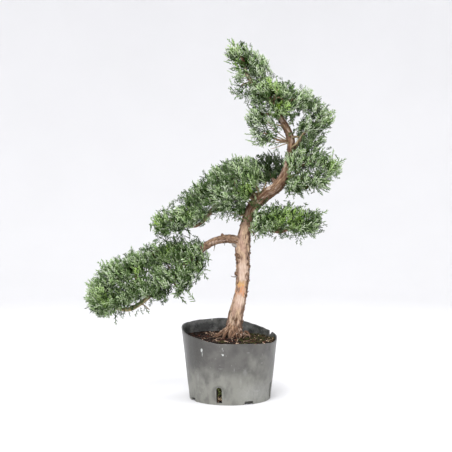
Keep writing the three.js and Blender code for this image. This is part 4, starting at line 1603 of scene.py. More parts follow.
@dataclass
class Pot:
    """The cut-down plastic pot."""

    form: PotForm = field(default_factory=PotForm)
    sides: int = 216
    rows: int = 40
    inner_rows: int = 24
    drain_width: float = 6.6
    drain_low: float = 2.4
    drain_high: float = 20.5
    arch_steps: int = 12
    cut_length: float = 8.0
    notch_width: float = 12.0
    notch_depth: float = 5.0
    notch_height: float = 3.8
    notch_turn: float = -3.5
    # How far the groove round each drain slot reaches; the plastic in it gets painted shade.
    halo: float = 9.5
    # The notch in the rim: its bearing in degrees, its width and its depth.
    rim_notch: Point = (29.0, 9.0, 7.0)
    rim_cut_length: float = 14.0
    # The underside, as radius and height from its middle out.
    underside: tuple[tuple[float, float], ...] = ((20.0, 0.9), (40.0, 0.9), (43.0, 0.7), (44.0, 0.0))
    foot_bevel: float = 0.5
    floor_radius: float = 24.0
    even_height: float = 6.0
    lip_steps: int = 6
    sharp_from: float = 38.0
    dent: float = 0.9
    dent_width: float = 5.5
    dent_height: float = 11.0
    wave: float = 0.45
    crease: float = 0.18

    def build(self, finish: Material) -> None:
        """Makes the pot.

        Args:
            finish: The plastic.
        """
        pot = self.shell().piece("nursery_pot", finish)
        cutters = [self.slot(i) for i in range(self.form.drains)]
        cutters += [self.foot_notch(i) for i in range(self.form.drains)]
        cutters.append(self.v_notch())
        for cutter in cutters:
            modifier = pot.modifiers.new("cut", "BOOLEAN")
            modifier.operation = "DIFFERENCE"
            modifier.solver = "EXACT"
            modifier.object = cutter
        mesh = baked(pot)
        pot.modifiers.clear()
        pot.data = mesh
        mesh.name = "nursery_pot"
        for cutter in cutters:
            bpy.data.objects.remove(cutter)
        make_smooth(mesh)
        mesh.set_sharp_from_angle(angle=math.radians(self.sharp_from))
        dress(pot, "pot", "pot")

    def off_drain(self, angle: float, number: int) -> float:
        """Returns how far round the wall a bearing is from a drain slot, in millimetres."""
        bearing = math.radians(self.form.drain_bearing(number))
        return math.remainder(angle - bearing, TURN) * self.form.base_radius

    def recess(self, angle: float, z: float) -> float:
        """Gives the arched groove round the drain slots.

        Args:
            angle: A bearing.
            z: A height.

        Returns:
            How deep in a groove the place is, from 0 to 1.
        """
        deepest = 0.0
        for i in range(self.form.drains):
            up = max(0.0, z - (self.drain_high - self.drain_width))
            away = math.hypot(self.off_drain(angle, i), up)
            groove = ease(self.halo, 0.8 * self.halo, away) * ease(0.45 * self.halo, 0.6 * self.halo, away)
            deepest = max(deepest, groove * ease(4, 11, z))
        return deepest

    def dented(self, angle: float, z: float) -> float:
        """Gives the wall's dents and waves.

        Args:
            angle: A bearing.
            z: A height.

        Returns:
            How far the wall stands out from its even form there, or in where it is below nought.
        """
        inward = 0.0
        for i in range(self.form.drains):
            off = self.off_drain(angle, i)
            up = z - (self.drain_low + self.drain_high) / 2
            inward += self.dent * math.exp(-((off / self.dent_width) ** 2) - (up / self.dent_height) ** 2)
        inward += 0.4 * self.recess(angle, z)
        wave = noise.noise(Vector(at_bearing(angle, 2.2, z / 45)))
        crease = noise.noise(Vector(at_bearing(angle, 7, z / 60 + 9)))
        return self.wave * wave + self.crease * crease - inward

    def profile(self, angle: float) -> list[Point]:
        """Draws the shell's outline at a bearing, from the foot up and back down on the inside.

        Args:
            angle: The bearing.

        Returns:
            For each point its radius, its height and its value "inside".
        """
        form = self.form
        half = form.wall / 2
        rim = self.cut_rim(angle)
        outline = [(radius, z, 0.0) for radius, z in self.underside]
        outline.append((form.base_radius - self.foot_bevel, 0.0, 0.0))
        # The first row lies a little over the foot, so that no two rings fall together.
        over = 0.01
        for i in range(self.rows):
            z = (i + over) / (self.rows - 1 + over) * (rim - half)
            fade = ease(0, self.even_height, z)
            outline.append((form.radius(angle, z) + fade * self.dented(angle, z), z, 0.0))
        for i in range(1, self.lip_steps):
            turn = math.pi * i / self.lip_steps
            z = rim - half * (1 - math.sin(turn))
            middle = form.radius(angle, z) + self.dented(angle, z) - half
            outline.append((middle + half * math.cos(turn), z, 0.5 if i > 2 else 0.2))
        for i in range(self.inner_rows):
            z = form.floor + (1 - i / (self.inner_rows - 1)) * (rim - half - form.floor)
            fade = ease(0, self.even_height, z - form.floor)
            outline.append((form.radius(angle, z) + fade * self.dented(angle, z) - form.wall, z, 1.0))
        outline.append((self.floor_radius, form.floor, 1.0))
        return outline

    def shell(self) -> MeshDraft:
        """Turns the profile round to the shell, a closed skin.

        Returns:
            The mesh in the making.
        """
        angles = [i * TURN / self.sides for i in range(self.sides)]
        rings = list(zip(*[self.profile(angle) for angle in angles]))
        points: list[Point] = [(0, 0, self.underside[0][1])]
        values, groove_shades = [0.0], [0.0]
        for ring in rings:
            for angle, (radius, z, value) in zip(angles, ring):
                points.append(at_bearing(angle, radius, z))
                values.append(value)
                groove_shades.append(self.recess(angle, z))
        points.append((0, 0, self.form.floor))
        values.append(1.0)
        groove_shades.append(0.0)
        draft = MeshDraft()
        draft.add(points, tube(len(rings), self.sides), inside=values, halo=groove_shades)
        return draft

    def cut_rim(self, angle: float) -> float:
        """Returns the rim's height with the small waves of a cut by hand."""
        where = Vector(at_bearing(angle, 9, 3))
        return self.form.rim(angle) + 0.35 * noise.noise(where) - 0.1

    def prism(
        self, outline: Sequence[tuple[float, float]], length: float, radius: float, bearing: float
    ) -> bpy.types.Object:
        """Makes a cutter.

        Args:
            outline: Its outline seen from outside, as steps to the right and up.
            length: How deep it reaches.
            radius: How far from the axis its middle is.
            bearing: Its bearing, in degrees.

        Returns:
            The cutter, out of sight.
        """
        turn = Matrix.Rotation(math.radians(bearing), 3, "Z")
        count = len(outline)
        sides = (radius - length / 2, radius + length / 2)
        points = [turn @ Vector((out, right, up)) for out in sides for right, up in outline]
        draft = MeshDraft()
        # The cut walls take the dark inside colour, which paints shade in the drain slots.
        draft.add(points, slab(count), inside=[1.0] * (2 * count), halo=[0.0] * (2 * count))
        cutter = draft.piece("cutter")
        cutter.hide_render = True
        return cutter

    def slot(self, number: int) -> bpy.types.Object:
        """Makes the cutter of a drain slot, with its arched top.

        Args:
            number: The slot's number.

        Returns:
            The cutter.
        """
        half = self.drain_width / 2
        turns = [math.pi * i / self.arch_steps for i in range(self.arch_steps + 1)]
        arch = [(half * math.cos(turn), self.drain_high - half + half * math.sin(turn)) for turn in turns]
        outline = [(-half, self.drain_low), (half, self.drain_low), *arch]
        return self.prism(outline, self.cut_length, self.form.base_radius, self.form.drain_bearing(number))

    def foot_notch(self, number: int) -> bpy.types.Object:
        """Makes the cutter of a notch in the foot, half-way between two drain slots.

        Args:
            number: The notch's number.

        Returns:
            The cutter.
        """
        half = self.notch_width / 2
        narrow = half * 0.9
        outline = [(-half, -1), (half, -1), (narrow, self.notch_height), (-narrow, self.notch_height)]
        bearing = self.form.drain_bearing(number + 0.5) + self.notch_turn
        return self.prism(outline, 2 * self.notch_depth, self.form.base_radius, bearing)

    def v_notch(self) -> bpy.types.Object:
        """Makes the cutter of the notch in the rim.

        Returns:
            The cutter.
        """
        bearing, width, depth = self.rim_notch
        rim = self.form.rim(math.radians(bearing))
        outline = [(0, rim - depth), (0.4 * width, rim + depth), (-1.6 * width, rim + depth)]
        return self.prism(outline, self.rim_cut_length, self.form.top_radius, bearing)


@dataclass
class Soil:
    """The potting mix, with crumbs, chips of bark, moss and fine roots lying on it."""

    form: PotForm = field(default_factory=PotForm)
    level: float = 71.0
    rise_left: float = 2.5
    mound: float = 4.5
    mound_radius: float = 20.0
    swell: float = 0.9
    trunk: tuple[float, float] = (4.8, 0.0)
    trunk_room: float = 10.0
    rim_room: float = 0.8
    damp_from: float = 0.12
    gap: float = 0.35
    sides: int = 128
    rings: int = 44
    side_heights: tuple[float, ...] = (10.0, 20.0, 45.0)
    crumbs: int = 1900
    crumb_kinds: int = 5
    chips: int = 300
    chip_kinds: int = 4
    chip_corners: int = 7
    strands: int = 90
    strand_kinds: int = 4
    tufts: int = 520
    tuft_kinds: int = 4
    tuft_leaves: int = 6
    slot_tufts: int = 44
    slot_fibres: int = 9
    shreds: int = 54
    dark_left: float = -34.0
    seed: int = 51

    def height(self, x: float, y: float) -> float:
        """Gives the smoothed surface.

        Args:
            x: How far right.
            y: How far back.

        Returns:
            The surface's height there.
        """
        away = math.hypot(x - self.trunk[0], y - self.trunk[1]) / self.mound_radius
        return (
            self.level
            - self.rise_left * x / self.form.base_radius
            + self.mound * math.exp(-away * away)
            + self.swell * math.sin(0.31 * x + 1) * math.cos(0.27 * y)
        )

    def rough_height(self, x: float, y: float) -> float:
        """Gives the surface with lumps and pits.

        Args:
            x: How far right.
            y: How far back.

        Returns:
            The surface's height there.
        """
        coarse = noise.noise(Vector((x / 6, y / 6, 0.5)))
        fine = noise.noise(Vector((x / 1.9, y / 1.9, 4.5)))
        return self.height(x, y) + 0.9 * coarse + 0.5 * fine

    def edge(self, angle: float, z: float) -> float:
        """Returns the filling's radius at a bearing and a height."""
        return self.form.radius(angle, z) - self.form.wall - 2 * self.gap

    def build(self, tree: ScatterTree, earth: Material, moss: Material) -> None:
        """Makes the filling and what lies on it.

        Args:
            tree: The tree that repeats the crumbs.
            earth: The finish of the mix, the crumbs and the chips.
            moss: The finish of the moss.
        """
        body = self.body().piece("potting_mix", earth)
        make_smooth(body.data)
        draws = Draws(self.seed)
        drafts = [self.crumb(draws) for _ in range(self.crumb_kinds)]
        drafts += [self.chip(draws) for _ in range(self.chip_kinds)]
        drafts += [self.strand(draws) for _ in range(self.strand_kinds)]
        loose = ShapeSet("loose", drafts)
        cover = tree.grow(
            "litter", self.litter(draws).mesh("litter"), Shapes=loose.collection, Shape_size=1.0,
            Size_spread=0.25, Seed=3, Finish=earth, Inner_form=body,
        )
        loose.clear()
        tufts = ShapeSet("tuft", [self.tuft(draws) for _ in range(self.tuft_kinds)])
        inner = place_in_scene("soil_inner", cover)
        mesh = tree.grow(
            "soil", self.mossy(draws).mesh("moss"), Shapes=tufts.collection, Shape_size=1.0,
            Size_spread=0.25, Seed=5, Finish=moss, Inner_form=inner,
        )
        tufts.clear()
        bpy.data.objects.remove(body)
        bpy.data.objects.remove(inner)
        dress(place_in_scene("soil_and_moss", mesh), "soil", "soil")

    def body(self) -> MeshDraft:
        """Makes the filling, a closed skin of rings up the side and in over the top.

        Returns:
            The mesh in the making.
        """
        low = self.form.floor + self.gap
        angles = [i * TURN / self.sides for i in range(self.sides)]
        points: list[Point] = [(0, 0, low)]
        for z in (low, *self.side_heights):
            for angle in angles:
                dent = 0.5 * noise.noise(Vector(at_bearing(angle, 9, z)))
                points.append(at_bearing(angle, self.edge(angle, z) - 0.5 + dent, z))
        for ring in range(self.rings):
            for angle in angles:
                radius = (1 - ring / self.rings) * self.edge(angle, self.level)
                x, y, _ = at_bearing(angle, radius, 0)
                points.append((x, y, self.rough_height(x, y)))
        points.append((0, 0, self.rough_height(0, 0)))
        kinds = [0.12 + 0.25 * ease(-0.2, 0.6, noise.noise(Vector(point) / 5)) for point in points]
        draft = MeshDraft()
        rows = 1 + len(self.side_heights) + self.rings
        draft.add(points, tube(rows, self.sides), kind=kinds, along=[0.0] * len(points))
        return draft

    def crumb(self, draws: Draws) -> MeshDraft:
        """Makes a lump of the mix, about 1 mm in radius.

        Args:
            draws: The random draws.

        Returns:
            The mesh in the making.
        """
        ball = bmesh.new()
        bmesh.ops.create_icosphere(ball, subdivisions=1, radius=1.0)
        shift = Vector((draws.between(0, 50), draws.between(0, 50), draws.between(0, 50)))
        squash = Vector((draws.between(0.8, 1.2), draws.between(0.7, 1.1), draws.between(0.5, 0.9)))
        points = [tuple(v.co * squash * (1 + 0.45 * noise.noise(v.co * 0.9 + shift))) for v in ball.verts]
        faces = [tuple(v.index for v in face.verts) for face in ball.faces]
        ball.free()
        draft = MeshDraft()
        draft.add(points, faces, along=[0.5] * len(points))
        return draft

    def chip(self, draws: Draws) -> MeshDraft:
        """Makes a flat, torn chip of bark or wood, about 4 mm long.

        Args:
            draws: The random draws.

        Returns:
            The mesh in the making.
        """
        length, width, thick = draws.between(1.6, 2.6), draws.between(0.7, 1.3), draws.between(0.25, 0.45)
        count = self.chip_corners
        outline = []
        for i in range(count):
            angle = i * TURN / count
            ragged = draws.between(0.75, 1.15)
            outline.append((length * ragged * math.cos(angle), width * ragged * math.sin(angle)))
        bend = draws.between(-0.12, 0.12)
        points = [(x, y, side * thick + bend * x * x) for side in (-1, 1) for x, y in outline]
        draft = MeshDraft()
        draft.add(points, slab(count), along=[0.5] * (2 * count))
        return draft

    def strand(self, draws: Draws) -> MeshDraft:
        """Makes a fine dry root, lying along X.

        Args:
            draws: The random draws.

        Returns:
            The mesh in the making.
        """
        half, side = draws.between(3.5, 6.5), draws.between(-2.0, 2.0)
        steps = (-1, -0.45, 0.1, 0.6, 1)
        line = [Vector((half * t, side * (1 - t * t), 0.5 * draws.next())) for t in steps]
        draft = MeshDraft()
        spindle(draft, line, (0.5, 0.6, 0.5), (0.5,) * 5)
        return draft

    def tuft(self, draws: Draws) -> MeshDraft:
        """Makes a tuft of moss: an upright leaf and a ring of short leaning ones.

        Args:
            draws: The random draws.

        Returns:
            The mesh in the making.
        """
        draft = MeshDraft()
        up = Vector((0, 0, 1))
        for i in range(self.tuft_leaves):
            angle = i * TURN / self.tuft_leaves + draws.between(-0.4, 0.4)
            lean = draws.between(0.3, 1.0) if i else 0.0
            out = Vector(at_bearing(angle, 1, 0)) * lean
            tall = draws.between(1.1, 1.9)
            line = (up * -0.3, out * 0.5 + up * (tall * 0.55), out + up * tall)
            spindle(draft, line, (0.7,), (0.0, 0.5, 1.0))
        return draft

    def spot(self, draws: Draws, mossy: bool = False) -> Vector:
        """Picks a place on the surface.

        Args:
            draws: The random draws.
            mossy: True for a place where moss grows.

        Returns:
            The place.
        """
        while True:
            angle = draws.between(0, TURN)
            radius = math.sqrt(draws.next()) * (self.edge(angle, self.level) - self.rim_room)
            x, y, _ = at_bearing(angle, radius, 0)
            if math.hypot(x - self.trunk[0], y - self.trunk[1]) < self.trunk_room:
                continue
            damp = noise.noise(Vector((x / 13, y / 13, 7.7))) + 0.02 * (x - 5)
            if not mossy or damp > self.damp_from:
                return Vector((x, y, self.rough_height(x, y)))

    def strand_shape(self, draws: Draws) -> int:
        """Returns the number of one of the fine roots' shapes."""
        return self.crumb_kinds + self.chip_kinds + draws.pick(self.strand_kinds)

    def litter(self, draws: Draws) -> Carriers:
        """Lays out the crumbs, chips and fine roots.

        Args:
            draws: The random draws.

        Returns:
            Their places, pale ones only where the soil isn't dark.
        """
        carriers = Carriers()
        up = Vector((0, 0, 1))
        for _ in range(self.crumbs):
            place = self.spot(draws)
            size = 0.5 + 1.0 * draws.next() ** 2
            pale = 0.9 if draws.next() > 0.96 and place.x > self.dark_left else draws.between(0.0, 0.5)
            way = Vector((draws.between(-1, 1), draws.between(-1, 1), draws.between(-1, 1) + 0.01))
            carriers.add(place, way, any_side(way, draws), size, draws.pick(self.crumb_kinds), kind=pale)
        for _ in range(self.chips):
            place = self.spot(draws) + up * 0.5
            lean = draws.lean(0.5)
            pale = 0.95 if draws.next() > 0.8 and place.x > self.dark_left else draws.between(0.2, 0.7)
            size = draws.between(0.55, 1.25)
            side = any_side(lean, draws)
            shape = self.crumb_kinds + draws.pick(self.chip_kinds)
            carriers.add(place, lean, side, size, shape, kind=pale)
        for _ in range(self.strands):
            place = self.spot(draws) + up * 0.6
            lean = draws.lean(0.2)
            size = draws.between(0.7, 1.3)
            pale = draws.between(0.5, 1.0) if place.x > self.dark_left else 0.4
            carriers.add(place, lean, any_side(lean, draws), size, self.strand_shape(draws), kind=pale)
        self.frayed(carriers, draws)
        return carriers

    def frayed(self, carriers: Carriers, draws: Draws) -> None:
        """Lays out the shreds of bark round the trunk's foot, and the fibres in the front drain slot.

        Args:
            carriers: The points that get them.
            draws: The random draws.
        """
        up = Vector((0, 0, 1))
        for _ in range(self.shreds):
            out = Vector(at_bearing(draws.between(0, TURN), 1, 0))
            x, y = (Vector(self.trunk) + out.xy * (12 + 13 * draws.next() ** 1.5))[:2]
            lean = out * draws.between(0.0, 0.8) + draws.lean(0.4)
            way = out.cross(up) * draws.between(-0.9, 0.9) + out
            kind = draws.between(0.1, 1.0)
            place = Vector((x, y, self.rough_height(x, y) + 0.7))
            carriers.add(place, lean, way, draws.between(0.8, 1.5), self.strand_shape(draws), kind=kind)
        for _ in range(self.slot_fibres):
            bearing = math.radians(self.form.drain_bearing(0)) + draws.between(-0.045, 0.045)
            out = Vector(at_bearing(bearing, 1, 0))
            z = draws.between(3, 9)
            way = up + out.cross(up) * draws.between(-0.7, 0.7)
            place = out * (self.edge(bearing, z) + 0.3) + up * z
            carriers.add(place, out, way, draws.between(0.4, 0.6), self.strand_shape(draws), kind=1.0)

    def mossy(self, draws: Draws) -> Carriers:
        """Lays out the moss, on the soil and in the drain slots.

        Args:
            draws: The random draws.

        Returns:
            The places of its tufts.
        """
        carriers = Carriers()
        for _ in range(self.tufts):
            place = self.spot(draws, mossy=True)
            lean = draws.lean(0.3)
            side = any_side(lean, draws)
            carriers.add(place, lean, side, draws.between(0.7, 1.3), draws.pick(self.tuft_kinds), kind=0.0)
        for i in range(self.form.drains * self.slot_tufts):
            number = i % self.form.drains
            bearing = math.radians(self.form.drain_bearing(number)) + draws.between(-0.055, 0.055)
            z = 4 + 15.5 * draws.next() ** 0.6
            radius = self.edge(bearing, z) - draws.between(-0.7, 0.4) - (2 if number else 0)
            place = Vector(at_bearing(bearing, radius, z))
            lean = Vector(at_bearing(bearing, 1, draws.between(-0.6, 0.8)))
            side = any_side(lean, draws)
            carriers.add(place, lean, side, draws.between(0.5, 0.8), draws.pick(self.tuft_kinds), kind=1.0)
        return carriers


# The values that the wood's points hold, for the finish of the bark.
BARK_VALUES = ("young", "root", "green", "flaky", "crack", "bare", "yellow", "scar", "grey")


class Growth(Enum):
    """What kind of wood a stretch is."""

    TRUNK = "trunk"
    ROOT = "root"
    BRANCH = "branch"
    TWIG = "twig"
    KNOT = "knot"
    DEAD = "dead"


@dataclass(frozen=True)
class BarkStretch:
    """A bent tube of wood of changing thickness."""

    route: Route
    growth: Growth
    sides: int
    spacing: float

    def frames(self) -> list[tuple[Vector, Vector, Vector, float, float]]:
        """Works out the tube's rings.

        Returns:
            For each ring its centre, its two directions across, its radius and how far along it is.
        """
        points = [Vector(stop[:3]) for stop in self.route]
        length = sum((b - a).length for a, b in zip(points, points[1:]))
        steps = max(4, round(length / self.spacing))
        across = Vector((0, 1, 0))
        frames = []
        previous = None
        travelled = 0.0
        for i in range(steps + 1):
            t = i / steps * (len(points) - 1)
            k = min(int(t), len(points) - 2)
            u = t - k
            # A smooth cubic curve from each stop to the next.
            before = points[max(0, k - 1)]
            after = points[min(len(points) - 1, k + 2)]
            start, end = points[k], points[k + 1]
            leave, arrive = (end - before) / 2, (after - start) / 2
            centre = (
                start * (2 * u**3 - 3 * u**2 + 1) + leave * (u**3 - 2 * u**2 + u)
                + end * (3 * u**2 - 2 * u**3) + arrive * (u**3 - u**2)
            )
            slope = (
                start * (6 * u**2 - 6 * u) + leave * (3 * u**2 - 4 * u + 1)
                + end * (6 * u - 6 * u**2) + arrive * (3 * u**2 - 2 * u)
            ).normalized()
            across = (across - slope * across.dot(slope)).normalized()
            if previous is not None:
                travelled += (centre - previous).length
            previous = centre
            radius = self.route[k][3] * (1 - u) + self.route[k + 1][3] * u
            frames.append((centre, across.copy(), across.cross(slope), radius, travelled))
        return frames


@dataclass(frozen=True)
class BarkFlake:
    """A thin, curled plate of loose bark, which lies along +Z and lifts at its ends."""

    seed: int
    length: float = 6.0
    width: float = 1.9
    thickness: float = 0.35
    lift: float = 0.9

    def draft(self) -> MeshDraft:
        """Makes the flake.

        Returns:
            The mesh in the making.
        """
        draws = Draws(self.seed + 300)
        points: list[Point] = []
        rows = 5
        lift = self.lift * draws.between(0.5, 1.3)
        for row in range(rows):
            t = row / (rows - 1)
            z = self.length * (t - 0.5)
            rise = lift * (2 * t - 1) ** 2 * (1 if row > 1 else 0.4)
            half = self.width / 2 * draws.between(0.7, 1.1) * (0.45 if row in (0, rows - 1) else 1.0)
            side = draws.between(-0.2, 0.2)
            thick = self.thickness / 2
            low, high = rise - thick, rise + thick
            corners = ((-half, low), (half, low), (half, high), (-half, high))
            points += [(side + x, y, z) for x, y in corners]
        faces = [(0, 1, 2, 3)]
        for row in range(rows - 1):
            a = 4 * row
            faces += [(a + (k + 1) % 4, a + k, a + 4 + k, a + 4 + (k + 1) % 4) for k in range(4)]
        last = 4 * (rows - 1)
        faces.append((last + 3, last + 2, last + 1, last))
        draft = MeshDraft()
        draft.add(points, faces, bark=[tuple(v * MM for v in point) for point in points])
        return draft


@dataclass
class Wood:
    """The living wood: surface roots, trunk, branches and twigs, which grew as one."""

    soil: Soil = field(default_factory=Soil)
    trunk: Route = (
        (4, 0, 52, 7.4), (4.2, 0, 66, 10.1), (4.8, 0, 76, 10.4), (5.6, 0, 87, 9.3), (8, 0, 101, 8.6),
        (11.4, 1, 116, 7.6), (13.9, 1.5, 129, 7.2), (15.2, 1.5, 142, 7.6), (15.5, 1, 152, 8.1),
        (15.4, 0.5, 163, 7.9), (15, 0, 176, 8.8), (16, 0, 188, 8.3), (17.6, 0, 199, 6.8),
        (20.4, 0.5, 211, 6.4), (25, 1, 224, 6.8), (34, 1, 235.4, 7.5), (44.5, 0.5, 243.8, 7),
        (55, 0, 251, 6.5), (63, 0, 260.6, 6.5), (67.6, 0, 271, 5.9), (70.8, 0, 282, 5.2),
        (73, 0.5, 294, 4.8), (73.2, 1, 305, 4.5), (71, 1, 315, 4.3), (66.8, 0.5, 324, 4.2),
        (62, 0, 332, 4), (58, 0, 341, 3.7), (53.5, 0, 350, 3.4), (46.5, 0, 359, 3.1),
        (37.5, 0, 367.5, 2.8), (29.5, 0, 374, 2.5), (23.4, 0, 381.5, 2.2), (19, -0.5, 391, 2),
        (16.4, -1, 401, 1.7), (12, -1, 410, 1.4), (6.5, -0.5, 418, 1.1),
    )
    branches: tuple[Route, ...] = (
        (
            (16, 0, 184, 6), (5, -1, 189, 5.4), (-4, -2, 190, 4.9), (-14, -3, 188.4, 4.6),
            (-23, -4, 185, 4.5), (-33, -5, 177.8, 4.1), (-46, -6, 166.6, 3.5), (-61, -8, 152.5, 3),
            (-77, -9, 138, 2.6), (-92, -9, 124.5, 2.5), (-107, -10, 112.6, 2.6), (-120, -10, 106, 2.5),
            (-133, -10, 107, 1.9), (-144, -9, 112, 1.4),
        ),
        ((-58, -7, 155, 2.4), (-64, -5, 164, 1.7), (-70, -4, 172, 1.2)),
        ((-98, -9.5, 119, 2), (-105, -9, 130, 1.6), (-112, -7, 143, 1.4), (-115, -2, 156, 1.1)),
        ((-71, -8.6, 143.4, 1.6), (-67, -9.5, 138, 1.3), (-62.5, -10, 132, 1)),
        (
            (36, 1, 238, 4.6), (25, 3, 243, 4.2), (14, 3, 241, 3.7), (2, 3, 237, 3.4), (-9, 3, 233, 3.1),
            (-18, 3, 227.5, 2.9), (-26, 2, 218.5, 2.6), (-33, 1, 210, 2.4), (-42, 0, 205, 2.1),
            (-54, -1, 206, 1.8), (-66, -2, 210, 1.4), (-77, -3, 212, 1.1),
        ),
        ((6, 3, 238, 2.4), (7, 4, 250, 1.8), (5, 6, 261, 1.4), (2, 9, 268, 1)),
        ((12, 3, 240.4, 1.9), (8, -2, 242.5, 1.5), (3, -8, 244.5, 1.1)),
        ((4, 3, 237.6, 1.8), (1, -1, 233, 1.3), (-3, -5, 229, 1)),
        ((-12, 3, 231.5, 2.2), (-23, 4, 237, 1.7), (-34, 5, 242, 1.2)),
        (
            (19, 0, 205, 3.8), (27, -6, 204, 3), (38, -10, 203, 2.7), (49, -12, 200.5, 2.5),
            (59, -12.5, 198.5, 2.4), (69, -12.5, 202, 2.1), (80, -12, 207, 1.7), (90, -11, 209, 1.2),
        ),
        ((36, -9.5, 203.3, 1.9), (37, -9.5, 208, 1.5), (38.5, -9, 214, 1.1)),
        ((58, -12.5, 198.7, 1.9), (57, -12.5, 206, 1.5), (57, -12, 214, 1.1)),
        (
            (68, 0, 274, 3.4), (76, -6, 274, 2.6), (86, -9, 278, 2.1), (98, -10, 282, 1.7),
            (109, -11, 280, 1.3), (117, -12, 278, 1),
        ),
        ((65, 0, 266, 3), (74, -7, 263, 2.3), (86, -11, 261, 1.8), (99, -11, 260, 1.2)),
        (
            (73, 0.5, 293, 3), (78, 3, 299, 2.5), (83, 5, 306, 2.1), (88.5, 7, 315, 1.8),
            (97, 8.5, 325, 1.4), (107, 10, 333, 1),
        ),
        ((57, 1, 253.5, 3.4), (54, 11, 259, 2.5), (50, 23, 266, 2), (47, 34, 273, 1.4)),
        ((71.5, 0.5, 308, 2.2), (63, -5, 306.5, 1.6), (54, -8, 308.5, 1.3), (40, -10, 316, 0.9)),
        ((60, 0, 337, 2.6), (51, -4, 338, 1.8), (41, -6.5, 338.5, 1.2)),
        ((56, 0, 345, 3), (65, 3, 352, 2.4), (76, 6, 357, 1.9), (88, 8, 358, 1.3)),
        ((27, 0, 376.5, 1.9), (20, -2, 376, 1.3), (13.5, -3.5, 373, 0.9)),
    )
    knots: tuple[Route, ...] = (
        ((10, -1, 147.4, 2.0), (7.9, -1.4, 147.9, 2.9), (6.4, -1.7, 148.2, 2.6), (5.6, -2, 148.3, 1.2)),
        ((-9, -2.5, 193, 2.2), (-9.3, -2.7, 194.6, 2), (-9.6, -2.8, 196, 1)),
        ((22, -3, 155, 2), (23, -3.3, 156.6, 1.8), (24, -3.6, 158, 0.9)),
        ((21.5, 1, 178, 2.1), (23, 1.1, 179.6, 1.8), (24.6, 1.2, 181, 1)),
        ((6.6, -5, 90, 2.3), (5.6, -6.4, 91.8, 2), (4.6, -7.6, 93.5, 1.1)),
        ((20, 0.5, 172, 2.6), (23.2, 0.4, 172.6, 2.2), (24.8, 0.4, 173, 1)),
        ((19, -4, 158, 2.4), (21.6, -5, 160, 2), (22.8, -5.6, 161.6, 1)),
        ((12, -5, 168, 3), (8.4, -6.6, 170, 2.6), (6.4, -7.4, 172, 1.4)),
    )
    # Root strands that fan out over the soil at the front and the left.
    root_strands: tuple[Route, ...] = (
        (
            (2, -4, 88, 3.4), (-4, -8, 82, 3.2), (-11, -12, 77, 2.6), (-17, -15, 74.5, 1.9),
            (-23, -17, 71.5, 1),
        ),
        ((1, -7, 86, 3), (-4, -12, 79.5, 2.6), (-7, -17, 75.5, 2), (-9, -21, 71, 1.2)),
        ((4, -8, 85, 3.4), (1, -13, 79, 3), (0, -18, 75, 2.2), (-1, -23, 71, 1.2)),
        ((7, -8, 84, 3), (6, -13, 78, 2.6), (3, -18, 74.5, 1.8), (1, -22, 71.5, 1)),
        ((0, -2, 85, 2.8), (-8, -4, 79, 2.2), (-15, -6, 75, 1.7), (-24, -8, 71.5, 0.9)),
        ((12, -5, 84, 1.4), (13.6, -9, 80, 1.1), (14, -14, 76, 0.9), (12, -20, 73, 0.6)),
        ((15, -8, 74.5, 1), (17.5, -9, 79, 1.4), (21, -10, 78.6, 1.3), (24, -12, 74, 0.9)),
        ((13, -12, 77, 0.7), (12, -19, 75.5, 0.6), (10, -26, 72.5, 0.4)),
        ((15, -10, 78, 0.6), (18, -17, 76, 0.5), (15, -25, 73.5, 0.4)),
        ((9, -12, 78, 0.8), (7, -18, 76.5, 0.6), (9, -25, 72.5, 0.4)),
    )
    # Slim stems that show among the leaves, each springing from a thicker one.
    stems: tuple[Route, ...] = (
        ((70.5, -1, 306.5, 1.1), (62, -6, 309, 0.8), (51, -10, 312.5, 0.7), (38, -11, 315, 0.5)),
        ((71, -1, 307, 1), (63, -5, 312, 0.7), (53, -9, 319, 0.6), (42, -12, 327, 0.4)),
        ((70.5, -1, 306, 1), (61, -6, 304.5, 0.7), (50, -10, 305, 0.6), (36, -12, 308, 0.4)),
        ((70.5, -1, 305, 0.9), (62, -5, 301.5, 0.7), (54, -9, 298, 0.5), (48, -10, 296.5, 0.3)),
        ((66, -1, 324, 1.4), (58, -7, 325, 1.1), (49, -12, 326.5, 0.8), (40, -15, 330, 0.5)),
        ((73, -2, 297, 2.4), (78, -9, 302, 1.9), (83, -14, 309, 1.5), (87, -17, 315, 0.9)),
        ((73, 0, 311, 2), (78, -5, 311.6, 1.6), (81.5, -8, 311, 1)),
        ((50, -1, 352, 2), (52, -10, 355, 1.5), (54, -16, 360, 1.2), (56, -19, 366, 0.7)),
        ((52, -10, 355, 1.2), (57, -15, 357, 1), (63, -18, 353.5, 0.6)),
        ((66, -1, 266, 2.1), (74, -10, 263.5, 1.6), (80, -16, 260.5, 1.2), (87, -19, 258.5, 0.7)),
        ((74, -10, 263.5, 1.3), (78, -15, 267, 1), (82, -19, 269.5, 0.6)),
        ((31, -3, 240, 2), (27, -10, 246, 1.3), (24, -15, 250.5, 0.7)),
        ((34, -4, 241, 1.8), (33, -12, 247.5, 1.2), (30, -17, 253, 0.6)),
        ((29, -5, 236, 1.7), (22, -12, 239, 1.1), (16, -17, 243, 0.6)),
        ((38, -5, 246, 1.5), (41, -12, 252, 1), (43, -15, 257, 0.6)),
        ((30, -5, 233, 1.5), (24, -11, 232, 1), (17, -15, 235, 0.6)),
        ((20, -4, 216, 1.4), (15, -8, 213.5, 0.8), (6, -11, 212, 0.4)),
        ((20, -4, 219, 1.2), (12, -9, 217, 0.7), (2, -12, 214.5, 0.4)),
        ((20, -3, 202, 1.4), (27, -10, 198, 0.8), (31, -13, 191, 0.4)),
        ((18, -4, 218, 1.2), (8, -9, 220, 0.7), (-2, -11, 219, 0.4)),
        ((-107, -10, 113, 1.2), (-101, -14, 111, 0.8), (-95, -17, 106, 0.5)),
        ((-66, -8.5, 147.5, 1.4), (-70, -15, 153, 1), (-73, -20, 159, 0.6)),
    )
